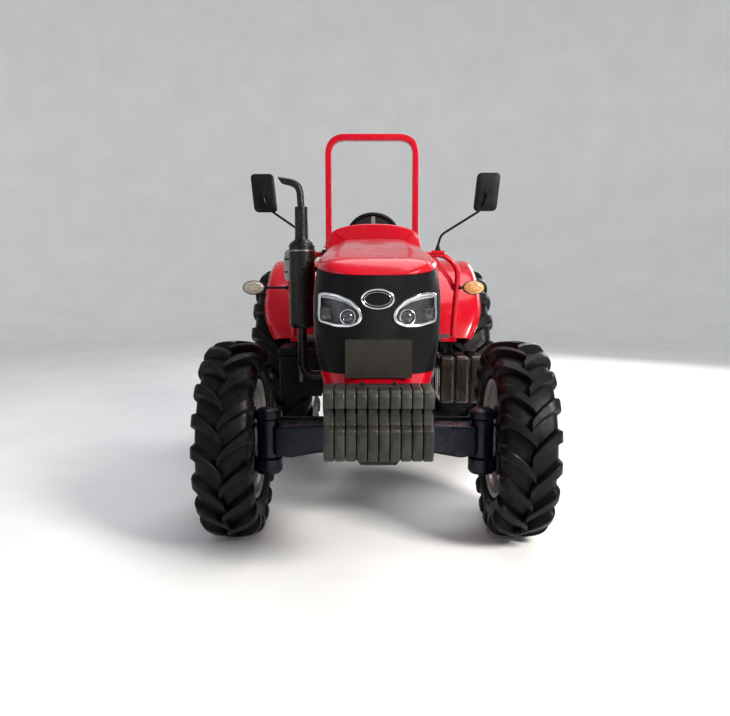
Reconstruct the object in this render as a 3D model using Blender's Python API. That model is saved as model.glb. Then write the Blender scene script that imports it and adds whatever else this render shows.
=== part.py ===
"""Four-wheel-drive utility tractor with an open operator's station.

+Z is up and the tractor faces -Y, so +X is its left side. The origin is on the floor, in
the middle of the whole length and on the centre line between the wheels. Sizes in metres.
"""

import math

import bmesh
import bpy
import numpy as np
from mathutils import Matrix, Vector

# ---- Clearances -------------------------------------------------------------------------
GAP = 0.0003  # between pieces that are bolted or seated together
RUN = 0.0006  # round a pin in its bore
CLEAR = 0.007  # between a moving piece and its neighbour

# ---- Wheels -----------------------------------------------------------------------------
TURNS = 24  # facets round a wheel
FLAT = math.cos(math.pi / TURNS)  # a facet's distance from the axle, over the radius
WHEELBASE = 2.10
FRONT_TRACK = 1.52
REAR_TRACK = 1.37
FRONT_TYRE = {"radius": 0.54, "width": 0.285, "bead": 0.305, "rim": 0.105, "wall": 0.020}
REAR_TYRE = {"radius": 0.74, "width": 0.43, "bead": 0.381, "rim": 0.180, "wall": 0.026}
FLANGE = 0.020  # a rim's flange above its bead seat
RIM_SHEET = 0.007
FRONT_DISC = 0.015  # wheel disc, outwards from the middle of the tyre
REAR_DISC = -0.050
HUB_RADIUS = 0.115
HUB_REACH = 0.045  # hub's inner face, inwards from the disc
SPINDLE_RADIUS = 0.045

# ---- Whole machine ----------------------------------------------------------------------
FRONT_OVERHANG = 0.98  # front axle to the face of the weights
REAR_OVERHANG = 0.88  # rear axle to the ends of the lower links
FRONT_Y = FRONT_OVERHANG - (FRONT_OVERHANG + WHEELBASE + REAR_OVERHANG) / 2
REAR_Y = FRONT_Y + WHEELBASE
FRONT_Z = FRONT_TYRE["radius"] * FLAT
REAR_Z = REAR_TYRE["radius"] * FLAT

# ---- Front axle and steering ------------------------------------------------------------
KINGPIN_X = FRONT_TRACK / 2 - 0.17
BEAM_DEPTH = 0.14
BEAM_TOP = FRONT_Z + 0.084
BEAM_BOTTOM = FRONT_Z - 0.072
BEAM_DROP = 0.028  # how far the beam's ends hang below its middle
BOSS_RADIUS = 0.062
BOSS_HALF = 0.105
KINGPIN_RADIUS = 0.022
KNUCKLE_RADIUS = 0.075
KNUCKLE_LIP = 0.055
KNUCKLE_FOOT = 0.085
DRUM_RADIUS = 0.135
ARM_BACK = 0.16  # steering arm's pin behind the kingpin
ARM_Z = FRONT_Z + 0.055
ARM_THICK = 0.020
TIE_ROD_RADIUS = 0.015
TIE_PIN_RADIUS = 0.0115

# ---- Frame, engine and gearbox ----------------------------------------------------------
FRAME_HALF = 0.14
FRAME_BOTTOM = BEAM_TOP + GAP
FRAME_TOP = FRAME_BOTTOM + 0.215
FRAME_FRONT = FRONT_Y - 0.705
FRAME_REAR = FRONT_Y + 0.075
CARRIER_HALF = 0.235
CARRIER_DEPTH = 0.035
CARRIER_BOTTOM = FRAME_BOTTOM + 0.06
ENGINE_HALF = 0.19
ENGINE_FRONT = FRAME_REAR - 0.330
ENGINE_REAR = FRONT_Y + 0.80
ENGINE_TOP = 1.40
SUMP_FRONT = FRONT_Y + 0.27
SUMP_BOTTOM = FRONT_Z + 0.02
GEARBOX_HALF = 0.17
GEARBOX_BOTTOM = 0.52
PLATFORM_TOP = 0.998
PLATFORM_SHEET = 0.024
PLATFORM_BOTTOM = PLATFORM_TOP - PLATFORM_SHEET
HOUSING_HALF = 0.19
HOUSING_LENGTH = 0.40
HOUSING_BOTTOM = 0.40
TRUMPET_RADIUS = 0.085
REAR_DRUM_RADIUS = 0.17
SHAFT_RADIUS = 0.026
PTO_RADIUS = 0.0175
PTO_REACH = 0.09

# ---- Front weights ----------------------------------------------------------------------
WEIGHTS = 10
WEIGHT_PITCH = 0.0466
WEIGHT_DEPTH = 0.255
WEIGHT_TOP = 0.973
WEIGHT_WAIST_TOP = 0.877
WEIGHT_WAIST_BOTTOM = 0.790
WEIGHT_CHIN = 0.692
WEIGHT_BOTTOM = 0.644
WAIST_DEPTH = 0.030

# ---- Bonnet -----------------------------------------------------------------------------
BONNET_HALF = 0.308
BONNET_SHEET = 0.006
NOSE_LENGTH = 0.35
NOSE_POWER = 3.0  # squareness of the nose seen from above
NOSE_Y = FRONT_Y - 0.70
NOSE_BACK = NOSE_Y + NOSE_LENGTH
BONNET_REAR = FRONT_Y + 0.79
BELLY_Z = 1.265  # height where the nose is widest
GRILLE_BOTTOM = 0.985
BAND_TOP = 1.497  # crest of the band above the grille
BAND_DEPTH = 0.10
CROWN_RISE = 0.148
SHOULDER_POWER = 3.5
GRILLE_SHEET = 0.012
GRILLE_END = 68.0  # degrees round the nose where the grille stops
HINGE_RADIUS = 0.008
HINGE_DROP = 0.026
HINGE_X = BONNET_HALF * 0.52
HINGE_Y = BONNET_REAR + 0.006
LAMP_DEPTH = 0.055
LAMP_PROUD = 0.006
BADGE_HALF = (0.0775, 0.049)
BADGE_Z = 1.324
PLATE_SIZE = (0.300, 0.165)
PLATE_Z = 1.062
PLATE_SHEET = 0.003

# ---- Cowl, rails, mirrors and lamps -----------------------------------------------------
COWL_FRONT = FRONT_Y + 0.825
COWL_DEPTH = 0.20
COWL_REAR = COWL_FRONT + COWL_DEPTH
COWL_HALF = 0.305
COWL_SHEET = 0.005
COWL_TOP = 1.758
RAIL_RADIUS = 0.016
RAIL_Y = COWL_FRONT + 0.115
RAIL_Z = 1.562
RAIL_OUT = 0.565
RAIL_KNEE_Z = 1.472
RAIL_BACK = 0.060  # how far the rail's foot is behind its top
RAIL_TUCK = 0.024  # and how far inside it
MIRROR_ARM_RADIUS = 0.007
MIRROR_SIZE = (0.155, 0.024, 0.25)
MIRROR_X = {1: 0.753, -1: 0.721}
MIRROR_Z = 1.970
LAMP_Z = 1.341
LAMP_HALF = (0.074, 0.032, 0.048)
LEFT_LAMP_X = 0.672
RIGHT_LAMP_X = -0.803

# ---- Steering wheel ---------------------------------------------------------------------
STEER_RADIUS = 0.178
STEER_GRIP = 0.014
STEER_TILT = math.radians(60)  # between the wheel's plane and the floor
STEER_Y = COWL_REAR + 0.285
STEER_Z = 1.693
COLUMN_RADIUS = 0.030

# ---- Operator's station -----------------------------------------------------------------
PLATFORM_FRONT = COWL_FRONT - 0.02
PLATFORM_HALF = 0.565
FENDER_RADIUS = REAR_TYRE["radius"] + 0.070
FENDER_SHEET = 0.004
FENDER_IN = 0.430
FENDER_OUT = 0.805
PLATFORM_WAIST = FENDER_IN - FENDER_SHEET - GAP
FENDER_ROUND = 0.060
FENDER_LIP = 0.075
FENDER_FRONT_ANGLE = math.radians(17)  # above the floor, at the front
FENDER_REAR_ANGLE = math.radians(142)
ROPS_HALF = 0.378
ROPS_TOP = 2.55
ROPS_BAR = (0.040, 0.080)  # across and along the tractor
ROPS_BEND = 0.16
ROPS_FOOT = 0.10
SEAT_HALF = 0.235
SEAT_Y = REAR_Y - 0.28
SEAT_Z = 1.24
CUSHION_THICK = 0.10
SEAT_LENGTH = 0.42
BACK_HEIGHT = 0.40
SEAT_LEAN = 0.10  # how far the back rest leans back, over its height

# ---- Exhaust, air cleaner, tank and battery ---------------------------------------------
MUFFLER_X = -0.405
MUFFLER_Y = FRONT_Y + 0.10
MUFFLER_RADIUS = 0.0635
MUFFLER_BOTTOM = 1.135
MUFFLER_TOP = 1.583
NECK_RADIUS = 0.034
NECK_TOP = 1.797
TAIL_RADIUS = 0.025
CLEANER_RADIUS = 0.068
TANK_X = (0.456, 0.760)
TANK_Z = (0.548, PLATFORM_BOTTOM - 0.100)
TYRE_ROOM = 0.035  # between a rear tyre and what stands in front of it
BATTERY_X = (-0.640, -0.350)
BATTERY_Z = (0.600, PLATFORM_BOTTOM - 0.039)

# ---- Three-point linkage ----------------------------------------------------------------
LINK_PIN_Y = REAR_Y + 0.05
LINK_PIN_Z = 0.46
SHAFT_Y = REAR_Y + 0.14
SHAFT_Z = 1.045
ARM_LENGTH = 0.30
PARKED = math.radians(-15)
LINK_EYE = 0.038
LINK_LENGTH = (REAR_OVERHANG - 0.05 - LINK_EYE) / math.cos(PARKED)
LINK_IN = 0.2175
LINK_OUT = 0.34
ROCKSHAFT_RADIUS = 0.030
ARM_X = 0.195
HITCH_PIN_RADIUS = 0.012


# ---- Scene and materials ----------------------------------------------------------------
def clear_scene():
    for obj in list(bpy.data.objects):
        bpy.data.objects.remove(obj, do_unlink=True)


def make_material(name, colour, roughness, metallic):
    material = bpy.data.materials.new(name)
    material.use_nodes = True
    shader = material.node_tree.nodes["Principled BSDF"]
    shader.inputs["Base Color"].default_value = (*colour, 1.0)
    shader.inputs["Roughness"].default_value = roughness
    shader.inputs["Metallic"].default_value = metallic
    return material


FINISHES = {
    "red_paint": ((0.62, 0.01, 0.02), 0.25, 0.1),
    "black_mesh": ((0.02, 0.02, 0.022), 0.45, 0.2),
    "chrome": ((0.75, 0.76, 0.78), 0.12, 1.0),
    "clear_lamp": ((0.55, 0.56, 0.58), 0.10, 0.3),
    "amber_lamp": ((0.75, 0.35, 0.06), 0.20, 0.0),
    "plate_grey": ((0.07, 0.065, 0.06), 0.55, 0.0),
    "rough_iron": ((0.09, 0.09, 0.08), 0.60, 0.6),
    "navy_iron": ((0.012, 0.02, 0.045), 0.40, 0.4),
    "engine_black": ((0.02, 0.02, 0.022), 0.55, 0.4),
    "black_rubber": ((0.018, 0.018, 0.020), 0.70, 0.0),
    "rim_grey": ((0.55, 0.53, 0.50), 0.40, 0.5),
    "black_satin": ((0.015, 0.015, 0.018), 0.35, 0.3),
    "tank_brown": ((0.06, 0.05, 0.04), 0.35, 0.1),
    "canister_grey": ((0.30, 0.31, 0.29), 0.50, 0.1),
    "seat_vinyl": ((0.03, 0.03, 0.032), 0.50, 0.0),
    "floor_mat": ((0.05, 0.05, 0.05), 0.80, 0.0),
    "link_black": ((0.03, 0.03, 0.032), 0.45, 0.5),
}


def paint(obj, finish):
    colour, roughness, metallic = FINISHES[finish]
    material = bpy.data.materials.get(finish)
    if material is None:
        material = make_material(finish, colour, roughness, metallic)
    obj.data.materials.append(material)


# ---- Modelling tools --------------------------------------------------------------------
def finish_mesh(bm, name, finish=None, smooth=35.0):
    """Turns a bmesh into an object whose faces point outwards."""
    bmesh.ops.remove_doubles(bm, verts=bm.verts, dist=0.00002)
    bmesh.ops.recalc_face_normals(bm, faces=bm.faces)
    mesh = bpy.data.meshes.new(name)
    bm.to_mesh(mesh)
    bm.free()
    mesh.shade_smooth()
    mesh.set_sharp_from_angle(angle=math.radians(smooth))
    obj = bpy.data.objects.new(name, mesh)
    bpy.context.collection.objects.link(obj)
    if finish:
        paint(obj, finish)
    return obj


def add_box(bm, low, high, bevel=0.0):
    """Adds a box between two corners, with all its edges bevelled."""
    low, high = Vector(low), Vector(high)
    size, middle = high - low, (high + low) / 2
    place = Matrix.Translation(middle) @ Matrix.Diagonal((*size, 1.0))
    made = bmesh.ops.create_cube(bm, size=1.0, matrix=place)
    if bevel:
        edges = {edge for vert in made["verts"] for edge in vert.link_edges}
        bmesh.ops.bevel(bm, geom=list(edges), offset=bevel, segments=1, affect="EDGES")


def box(name, low, high, finish=None, bevel=0.0):
    bm = bmesh.new()
    add_box(bm, low, high, bevel)
    return finish_mesh(bm, name, finish)


def prism(name, outline, axis, start, end, finish=None, bevel=0.0):
    """Extrudes a closed outline along an axis; the outline holds the other two coordinates."""
    bm = bmesh.new()
    place = {
        "X": lambda p: (start, p[0], p[1]),
        "Y": lambda p: (p[0], start, p[1]),
        "Z": lambda p: (p[0], p[1], start),
    }[axis]
    face = bm.faces.new([bm.verts.new(place(p)) for p in outline])
    step = Vector([end - start if name_of == axis else 0.0 for name_of in "XYZ"])
    made = bmesh.ops.extrude_face_region(bm, geom=[face])["geom"]
    moved = [item for item in made if isinstance(item, bmesh.types.BMVert)]
    bmesh.ops.translate(bm, verts=moved, vec=step)
    if bevel:
        bmesh.ops.recalc_face_normals(bm, faces=bm.faces)
        caps = [f for f in bm.faces if abs(f.normal.dot(step.normalized())) > 0.99]
        edges = {edge for f in caps for edge in f.edges}
        bmesh.ops.bevel(bm, geom=list(edges), offset=bevel, segments=1, affect="EDGES")
    return finish_mesh(bm, name, finish)


def turned(name, profile, centre, axis, finish=None, steps=TURNS, closed=False, phase=0.0):
    """Turns a profile of (distance along the axis, radius) points about an axis."""
    axis = Vector(axis).normalized()
    helper = Vector((0, 0, 1)) if abs(axis.z) < 0.9 else Vector((0, 1, 0))
    side = helper.cross(axis).normalized()
    up = axis.cross(side)
    centre = Vector(centre)
    bm = bmesh.new()
    start = side * math.cos(phase) + up * math.sin(phase)
    verts = [bm.verts.new(centre + axis * a + start * r) for a, r in profile]
    edges = [bm.edges.new(pair) for pair in zip(verts, verts[1:])]
    if closed:
        edges.append(bm.edges.new((verts[-1], verts[0])))
    bmesh.ops.spin(
        bm, geom=verts + edges, cent=centre, axis=axis, angle=math.tau,
        steps=steps, use_merge=True, use_duplicate=False,
    )
    return finish_mesh(bm, name, finish)


def rod(name, start, end, radius, finish=None, steps=16, phase=0.0):
    """A straight round bar between two points."""
    start, end = Vector(start), Vector(end)
    length = (end - start).length
    profile = [(0, 0), (0, radius), (length, radius), (length, 0)]
    return turned(name, profile, start, end - start, finish, steps, phase=phase)


def rounded_path(points, bend, steps=4):
    """The corners of a path replaced by curves that start and end a bend's length away."""
    points = [Vector(p) for p in points]
    path = [points[0]]
    for before, corner, after in zip(points, points[1:], points[2:]):
        reach = min(bend, (before - corner).length * 0.49, (after - corner).length * 0.49)
        enter = corner + (before - corner).normalized() * reach
        leave = corner + (after - corner).normalized() * reach
        for t in np.linspace(0, 1, steps + 1):
            path.append(enter * (1 - t) ** 2 + corner * 2 * t * (1 - t) + leave * t**2)
    path.append(points[-1])
    return path


def swept(name, path, outline, finish=None, up=(0, 1, 0)):
    """Carries a closed outline of (sideways, up) points along a path, with flat ends."""
    path = [Vector(p) for p in path]
    up = Vector(up).normalized()
    bm = bmesh.new()
    rings = []
    for i, point in enumerate(path):
        into = (point - path[i - 1]).normalized() if i else None
        out = (path[i + 1] - point).normalized() if i + 1 < len(path) else None
        along = ((into or out) + (out or into)).normalized()
        side = along.cross(up).normalized()
        lift = side.cross(along).normalized()
        stretch = 1 / max(along.dot(out or into), 0.5)
        in_turn = Vector((0, 0, 0))
        if into and out and (into - out).length > 1e-6:
            in_turn = (into - out).normalized()
        ring = []
        for a, b in outline:
            offset = side * a + lift * b
            offset += in_turn * offset.dot(in_turn) * (stretch - 1)
            ring.append(bm.verts.new(point + offset))
        rings.append(ring)
    for ring, after in zip(rings, rings[1:]):
        for i in range(len(ring)):
            j = (i + 1) % len(ring)
            bm.faces.new((ring[i], ring[j], after[j], after[i]))
    bm.faces.new(rings[0])
    bm.faces.new(rings[-1])
    return finish_mesh(bm, name, finish)


def circle(radius, steps=10):
    turns = [math.tau * (i + 0.5) / steps for i in range(steps)]
    return [(radius * math.cos(turn), radius * math.sin(turn)) for turn in turns]


def rectangle(across, high):
    return [(-across / 2, -high / 2), (across / 2, -high / 2),
            (across / 2, high / 2), (-across / 2, high / 2)]


def grid_solid(name, points, thickness, finish, smooth=50.0):
    """A sheet of a given thickness behind a grid of points, rows by columns.

    The first two directions of the grid make a right-handed frame with the outward side.
    """
    points = np.asarray(points)
    rows, columns = points.shape[:2]
    bm = bmesh.new()
    verts = [[bm.verts.new(tuple(points[i, j])) for j in range(columns)] for i in range(rows)]
    for i in range(rows - 1):
        for j in range(columns - 1):
            bm.faces.new((verts[i][j], verts[i + 1][j], verts[i + 1][j + 1], verts[i][j + 1]))
    return sheet_object(bm, name, thickness, finish, smooth)


def sheet_object(bm, name, thickness, finish, smooth=50.0):
    """Gives the faces of a bmesh a thickness on their inner side."""
    bmesh.ops.remove_doubles(bm, verts=bm.verts, dist=0.00002)
    bmesh.ops.dissolve_degenerate(bm, edges=bm.edges, dist=0.00002)
    mesh = bpy.data.meshes.new(name)
    bm.to_mesh(mesh)
    bm.free()
    mesh.shade_smooth()
    mesh.set_sharp_from_angle(angle=math.radians(smooth))
    obj = bpy.data.objects.new(name, mesh)
    bpy.context.collection.objects.link(obj)
    solidify = obj.modifiers.new("sheet", "SOLIDIFY")
    solidify.thickness = thickness
    solidify.offset = -1.0
    solidify.use_even_offset = True
    paint(obj, finish)
    return obj


def combine(obj, operation, tools):
    for tool in tools:
        step = obj.modifiers.new(operation.lower(), "BOOLEAN")
        step.operation = operation
        step.object = tool
        tool.hide_render = True
        tool.display_type = "WIRE"
    return obj


def fuse(obj, *tools):
    return combine(obj, "UNION", tools)


def cut(obj, *tools):
    return combine(obj, "DIFFERENCE", tools)


def pivot(obj, point):
    """Moves an object's origin to a point on its joint's axis, leaving its shape in place."""
    point = Vector(point)
    obj.data.transform(Matrix.Translation(-point))
    obj.location = point
    return obj


def mirrored(points):
    """An outline's right half given as (x, z) points, with its left half added."""
    return points + [(-x, z) for x, z in reversed(points) if abs(x) > 1e-9]


# ---- Wheels -----------------------------------------------------------------------------
def tyre_profile(tyre):
    """A tyre's hollow section, open towards the rim, as (across, radius) points."""
    half, top, seat = tyre["width"] / 2, tyre["radius"], tyre["bead"] + GAP
    bead = tyre["rim"] - GAP
    wall = tyre["wall"]
    high = top - seat
    side = [(bead, seat), (bead, seat + FLANGE + 0.006), (half, seat + high * 0.45),
            (half, seat + high * 0.72)]
    crown = [(half * 0.88, top - 0.022), (half * 0.30, top)]
    hollow = [(half * 0.86 - wall, top - 0.070), (half - wall, seat + high * 0.48),
              (bead - wall, seat)]
    outer = side + crown
    return ([(-a, r) for a, r in outer] + [(a, r) for a, r in reversed(outer)]
            + [(a, r) for a, r in reversed(hollow)] + [(-a, r) for a, r in hollow])


def rim_profile(tyre, disc):
    """A rim with its wheel disc, hub and the blind bore that turns on the spindle."""
    bead, half = tyre["bead"], tyre["rim"]
    lip = half + RIM_SHEET
    skin = bead - RIM_SHEET
    bore = SPINDLE_RADIUS + RUN
    hub = disc - HUB_REACH
    hollow_side = [
        (disc - 0.008, 0), (disc - 0.008, bore), (hub, bore), (hub, HUB_RADIUS),
        (disc, HUB_RADIUS + 0.012), (disc, skin), (-lip, skin)]
    tyre_side = [(-lip, bead + FLANGE), (-half, bead + FLANGE), (-half, bead),
                 (half, bead), (half, bead + FLANGE), (lip, bead + FLANGE)]
    face = [
        (lip, skin), (disc + 0.012, skin), (disc + 0.012, HUB_RADIUS - 0.030),
        (disc + 0.055, HUB_RADIUS - 0.040), (disc + 0.060, 0)]
    return hollow_side + tyre_side + face


def wheel(end, side_name, side, tyre, disc, track, y, z):
    centre = (side * track / 2, y, z)
    axis = (side, 0, 0)
    half_facet = math.pi / TURNS
    name = f"{end}_tyre_{side_name}"
    rubber = turned(name, tyre_profile(tyre), centre, axis, "black_rubber",
                    closed=True, phase=half_facet)
    name = f"{end}_rim_{side_name}"
    rim = turned(name, rim_profile(tyre, disc), centre, axis, "rim_grey", phase=half_facet)
    for obj in (rubber, rim):
        pivot(obj, centre)


def wheels():
    for side_name, side in (("left", 1), ("right", -1)):
        wheel("front", side_name, side, FRONT_TYRE, FRONT_DISC, FRONT_TRACK, FRONT_Y, FRONT_Z)
        wheel("rear", side_name, side, REAR_TYRE, REAR_DISC, REAR_TRACK, REAR_Y, REAR_Z)


# ---- Front axle -------------------------------------------------------------------------
def front_axle_beam():
    boss_in = KINGPIN_X - BOSS_RADIUS * 0.6
    knee = KINGPIN_X * 0.52
    end_bottom = BEAM_BOTTOM - BEAM_DROP
    outline = mirrored([(knee, BEAM_BOTTOM), (boss_in * 0.84, end_bottom),
                        (boss_in, end_bottom + 0.014), (boss_in, BEAM_TOP - 0.012),
                        (knee, BEAM_TOP)])
    front, back = FRONT_Y - BEAM_DEPTH / 2, FRONT_Y + BEAM_DEPTH / 2
    beam = prism("front_axle_beam", outline, "Y", front, back, "navy_iron", 0.014)
    tools = []
    pin_end = BOSS_HALF + KNUCKLE_LIP * 0.6
    for side in (1, -1):
        low = (side * KINGPIN_X, FRONT_Y, FRONT_Z - pin_end)
        profile = [(0, 0), (0, KINGPIN_RADIUS), (pin_end - BOSS_HALF, KINGPIN_RADIUS),
                   (pin_end - BOSS_HALF, BOSS_RADIUS), (pin_end + BOSS_HALF, BOSS_RADIUS),
                   (pin_end + BOSS_HALF, KINGPIN_RADIUS), (2 * pin_end, KINGPIN_RADIUS),
                   (2 * pin_end, 0)]
        tools.append(turned("axle_boss_tool", profile, low, (0, 0, 1), steps=16))
    centre = (0, FRONT_Y + BEAM_DEPTH / 2 - 0.03, FRONT_Z - 0.008)
    cover = [(0, 0), (0, 0.080), (0.055, 0.066), (0.055, 0.038), (0.11, 0.038), (0.11, 0)]
    tools.append(turned("differential_tool", cover, centre, (0, 1, 0), steps=16))
    return fuse(beam, *tools)


def knuckle(side_name, side):
    """The steered end of the axle, with its lips on the kingpins, its drum and its arm."""
    x = side * KINGPIN_X
    top = FRONT_Z + BOSS_HALF + CLEAR
    bottom = FRONT_Z - BOSS_HALF - CLEAR
    web_in, web_out = KNUCKLE_RADIUS - 0.004, KNUCKLE_RADIUS + 0.028
    web_low = (min(x + side * web_in, x + side * web_out), FRONT_Y - 0.062, bottom - KNUCKLE_FOOT)
    web_high = (max(x + side * web_in, x + side * web_out), FRONT_Y + 0.062, top + KNUCKLE_LIP)
    body = box(f"knuckle_{side_name}", web_low, web_high, "navy_iron", 0.008)
    bore = KINGPIN_RADIUS + RUN
    upper = [(0, bore), (0, KNUCKLE_RADIUS), (KNUCKLE_LIP * 0.7, KNUCKLE_RADIUS),
             (KNUCKLE_LIP, KNUCKLE_RADIUS * 0.6), (KNUCKLE_LIP, 0), (KNUCKLE_LIP * 0.7, 0),
             (KNUCKLE_LIP * 0.7, bore)]
    lower = [(0, bore), (0, KNUCKLE_RADIUS), (KNUCKLE_FOOT * 0.8, KNUCKLE_RADIUS),
             (KNUCKLE_FOOT, KNUCKLE_RADIUS * 0.8), (KNUCKLE_FOOT, 0), (KNUCKLE_LIP * 0.7, 0),
             (KNUCKLE_LIP * 0.7, bore)]
    lips = [turned("upper_lip_tool", upper, (x, FRONT_Y, top), (0, 0, 1), steps=16, closed=True),
            turned("lower_lip_tool", lower, (x, FRONT_Y, bottom), (0, 0, -1), steps=16,
                   closed=True)]
    gap_end = FRONT_TRACK / 2 - KINGPIN_X + FRONT_DISC - HUB_REACH - CLEAR
    pin_end = gap_end + CLEAR + HUB_REACH - 0.012
    drum = [(web_in + 0.004, 0), (web_in + 0.004, DRUM_RADIUS * 0.8), (web_out, DRUM_RADIUS),
            (gap_end, DRUM_RADIUS), (gap_end, SPINDLE_RADIUS), (pin_end, SPINDLE_RADIUS),
            (pin_end, 0)]
    drum_body = turned("drum_tool", drum, (x, FRONT_Y, FRONT_Z), (side, 0, 0), steps=16)
    root, pin_y = web_out - 0.003, FRONT_Y + ARM_BACK
    arm_outline = [(x + side * across, y) for across, y in (
        (root, FRONT_Y + 0.020), (root, FRONT_Y + 0.058), (0.040, pin_y + 0.018),
        (0, pin_y + 0.026), (-0.024, pin_y), (0, pin_y - 0.026), (0.034, pin_y - 0.034),
        (web_in, FRONT_Y + 0.061))]
    arm = prism("steering_arm_tool", arm_outline, "Z", ARM_Z - ARM_THICK, ARM_Z)
    pin = rod("tie_pin_tool", (x, pin_y, ARM_Z - 0.008), (x, pin_y, ARM_Z + 0.040),
              TIE_PIN_RADIUS, steps=12)
    fuse(body, *lips, drum_body, arm, pin)
    return pivot(body, (x, FRONT_Y, FRONT_Z))


def tie_rod():
    """The rod between the steering arms, with an eye round each arm's pin."""
    reach = KINGPIN_X
    y, z = FRONT_Y + ARM_BACK, ARM_Z + 0.018
    body = rod("tie_rod", (-reach + 0.019, y, z), (reach - 0.019, y, z), TIE_ROD_RADIUS,
               "engine_black", 12)
    eye = [(-0.012, TIE_PIN_RADIUS + RUN), (-0.012, 0.024), (0.012, 0.024),
           (0.012, TIE_PIN_RADIUS + RUN)]
    eyes = [turned("tie_eye_tool", eye, (side * reach, y, z), (0, 0, 1), steps=12, closed=True)
            for side in (1, -1)]
    fuse(body, *eyes)
    return pivot(body, (reach, y, z))


# ---- Frame, engine and driveline --------------------------------------------------------
def front_frame():
    """The front support: side rails, the cross bar that carries the weights, and its bed."""
    frame = box("front_frame", (-FRAME_HALF, FRAME_FRONT, FRAME_BOTTOM),
                (FRAME_HALF, FRAME_REAR, FRAME_TOP), "engine_black", 0.006)
    well = box("frame_well_tool", (-FRAME_HALF + 0.03, FRAME_FRONT + 0.04, FRAME_TOP - 0.06),
               (FRAME_HALF - 0.03, FRONT_Y - 0.48, FRAME_TOP + 0.02))
    bar = box("carrier_tool", (-CARRIER_HALF, FRAME_FRONT - CARRIER_DEPTH, CARRIER_BOTTOM),
              (CARRIER_HALF, FRAME_FRONT + 0.02, FRAME_TOP - 0.01), bevel=0.004)
    return cut(fuse(frame, bar), well)


def engine():
    """The engine as one plain block with its sump."""
    outline = [(ENGINE_FRONT, FRAME_TOP + GAP), (FRAME_REAR + GAP, FRAME_TOP + GAP),
               (FRAME_REAR + GAP, FRAME_BOTTOM + 0.05), (SUMP_FRONT, FRAME_BOTTOM + 0.04),
               (SUMP_FRONT + 0.03, SUMP_BOTTOM), (ENGINE_REAR - 0.10, SUMP_BOTTOM),
               (ENGINE_REAR - GAP, GEARBOX_BOTTOM + 0.08), (ENGINE_REAR - GAP, ENGINE_TOP - 0.06),
               (ENGINE_REAR - 0.08, ENGINE_TOP), (ENGINE_FRONT, ENGINE_TOP)]
    return prism("engine", outline, "X", -ENGINE_HALF, ENGINE_HALF, "engine_black", 0.02)


def radiator():
    back = ENGINE_FRONT - 0.035
    core = box("radiator", (-0.205, back - 0.09, FRAME_TOP + GAP), (0.205, back, 1.385),
               "engine_black", 0.006)
    fan = turned("fan_tool", [(-0.01, 0), (-0.01, 0.15), (0.030, 0.15), (0.030, 0.04),
                              (0.035 - GAP, 0.04), (0.035 - GAP, 0)],
                 (0, back, 1.12), (0, 1, 0), steps=20)
    return fuse(core, fan)


def gearbox():
    outline = [(ENGINE_REAR, GEARBOX_BOTTOM + 0.04), (ENGINE_REAR + 0.06, GEARBOX_BOTTOM),
               (REAR_Y - HOUSING_LENGTH / 2 - GAP, GEARBOX_BOTTOM),
               (REAR_Y - HOUSING_LENGTH / 2 - GAP, PLATFORM_BOTTOM - GAP),
               (ENGINE_REAR, PLATFORM_BOTTOM - GAP)]
    return prism("gearbox", outline, "X", -GEARBOX_HALF, GEARBOX_HALF, "navy_iron", 0.018)


def rear_axle_housing():
    """The rear axle's centre housing, trumpets, brake drums, spindles and shaft end."""
    front, back = REAR_Y - HOUSING_LENGTH / 2, REAR_Y + HOUSING_LENGTH / 2
    outline = [(front, HOUSING_BOTTOM + 0.08), (front + 0.08, HOUSING_BOTTOM),
               (back - 0.04, HOUSING_BOTTOM), (back, HOUSING_BOTTOM + 0.05),
               (back, PLATFORM_BOTTOM - GAP), (front, PLATFORM_BOTTOM - GAP)]
    housing = prism("rear_axle_housing", outline, "X", -HOUSING_HALF, HOUSING_HALF,
                    "navy_iron", 0.015)
    face = REAR_TRACK / 2 + REAR_DISC - HUB_REACH - CLEAR
    tip = face + CLEAR + HUB_REACH - 0.012
    half = [(face - 0.075, TRUMPET_RADIUS), (face - 0.070, REAR_DRUM_RADIUS),
            (face, REAR_DRUM_RADIUS), (face, SPINDLE_RADIUS), (tip, SPINDLE_RADIUS), (tip, 0)]
    profile = [(-a, r) for a, r in reversed(half)] + half
    trumpets = turned("trumpet_tool", profile, (0, REAR_Y, REAR_Z), (1, 0, 0), steps=24,
                      phase=math.pi / 24)
    shaft = rod("pto_tool", (0, back - 0.02, 0.62), (0, back + PTO_REACH, 0.62), PTO_RADIUS)
    pins = rod("link_pins_tool", (-LINK_IN - 0.035, LINK_PIN_Y, LINK_PIN_Z),
               (LINK_IN + 0.035, LINK_PIN_Y, LINK_PIN_Z), HITCH_PIN_RADIUS)
    return fuse(housing, trumpets, shaft, pins)


def drive_shaft():
    """The front-wheel drive shaft, in its tube between the gearbox and the front axle."""
    start = FRONT_Y + BEAM_DEPTH / 2 - 0.03 + 0.11 + GAP
    level = GEARBOX_BOTTOM - SHAFT_RADIUS - GAP
    z = FRONT_Z - 0.008
    path = [(0, start, z), (0, start + 0.10, z), (0, ENGINE_REAR - 0.05, level),
            (0, ENGINE_REAR + 0.30, level)]
    return swept("drive_shaft", path, circle(SHAFT_RADIUS, 12), "engine_black", up=(1, 0, 0))


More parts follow.
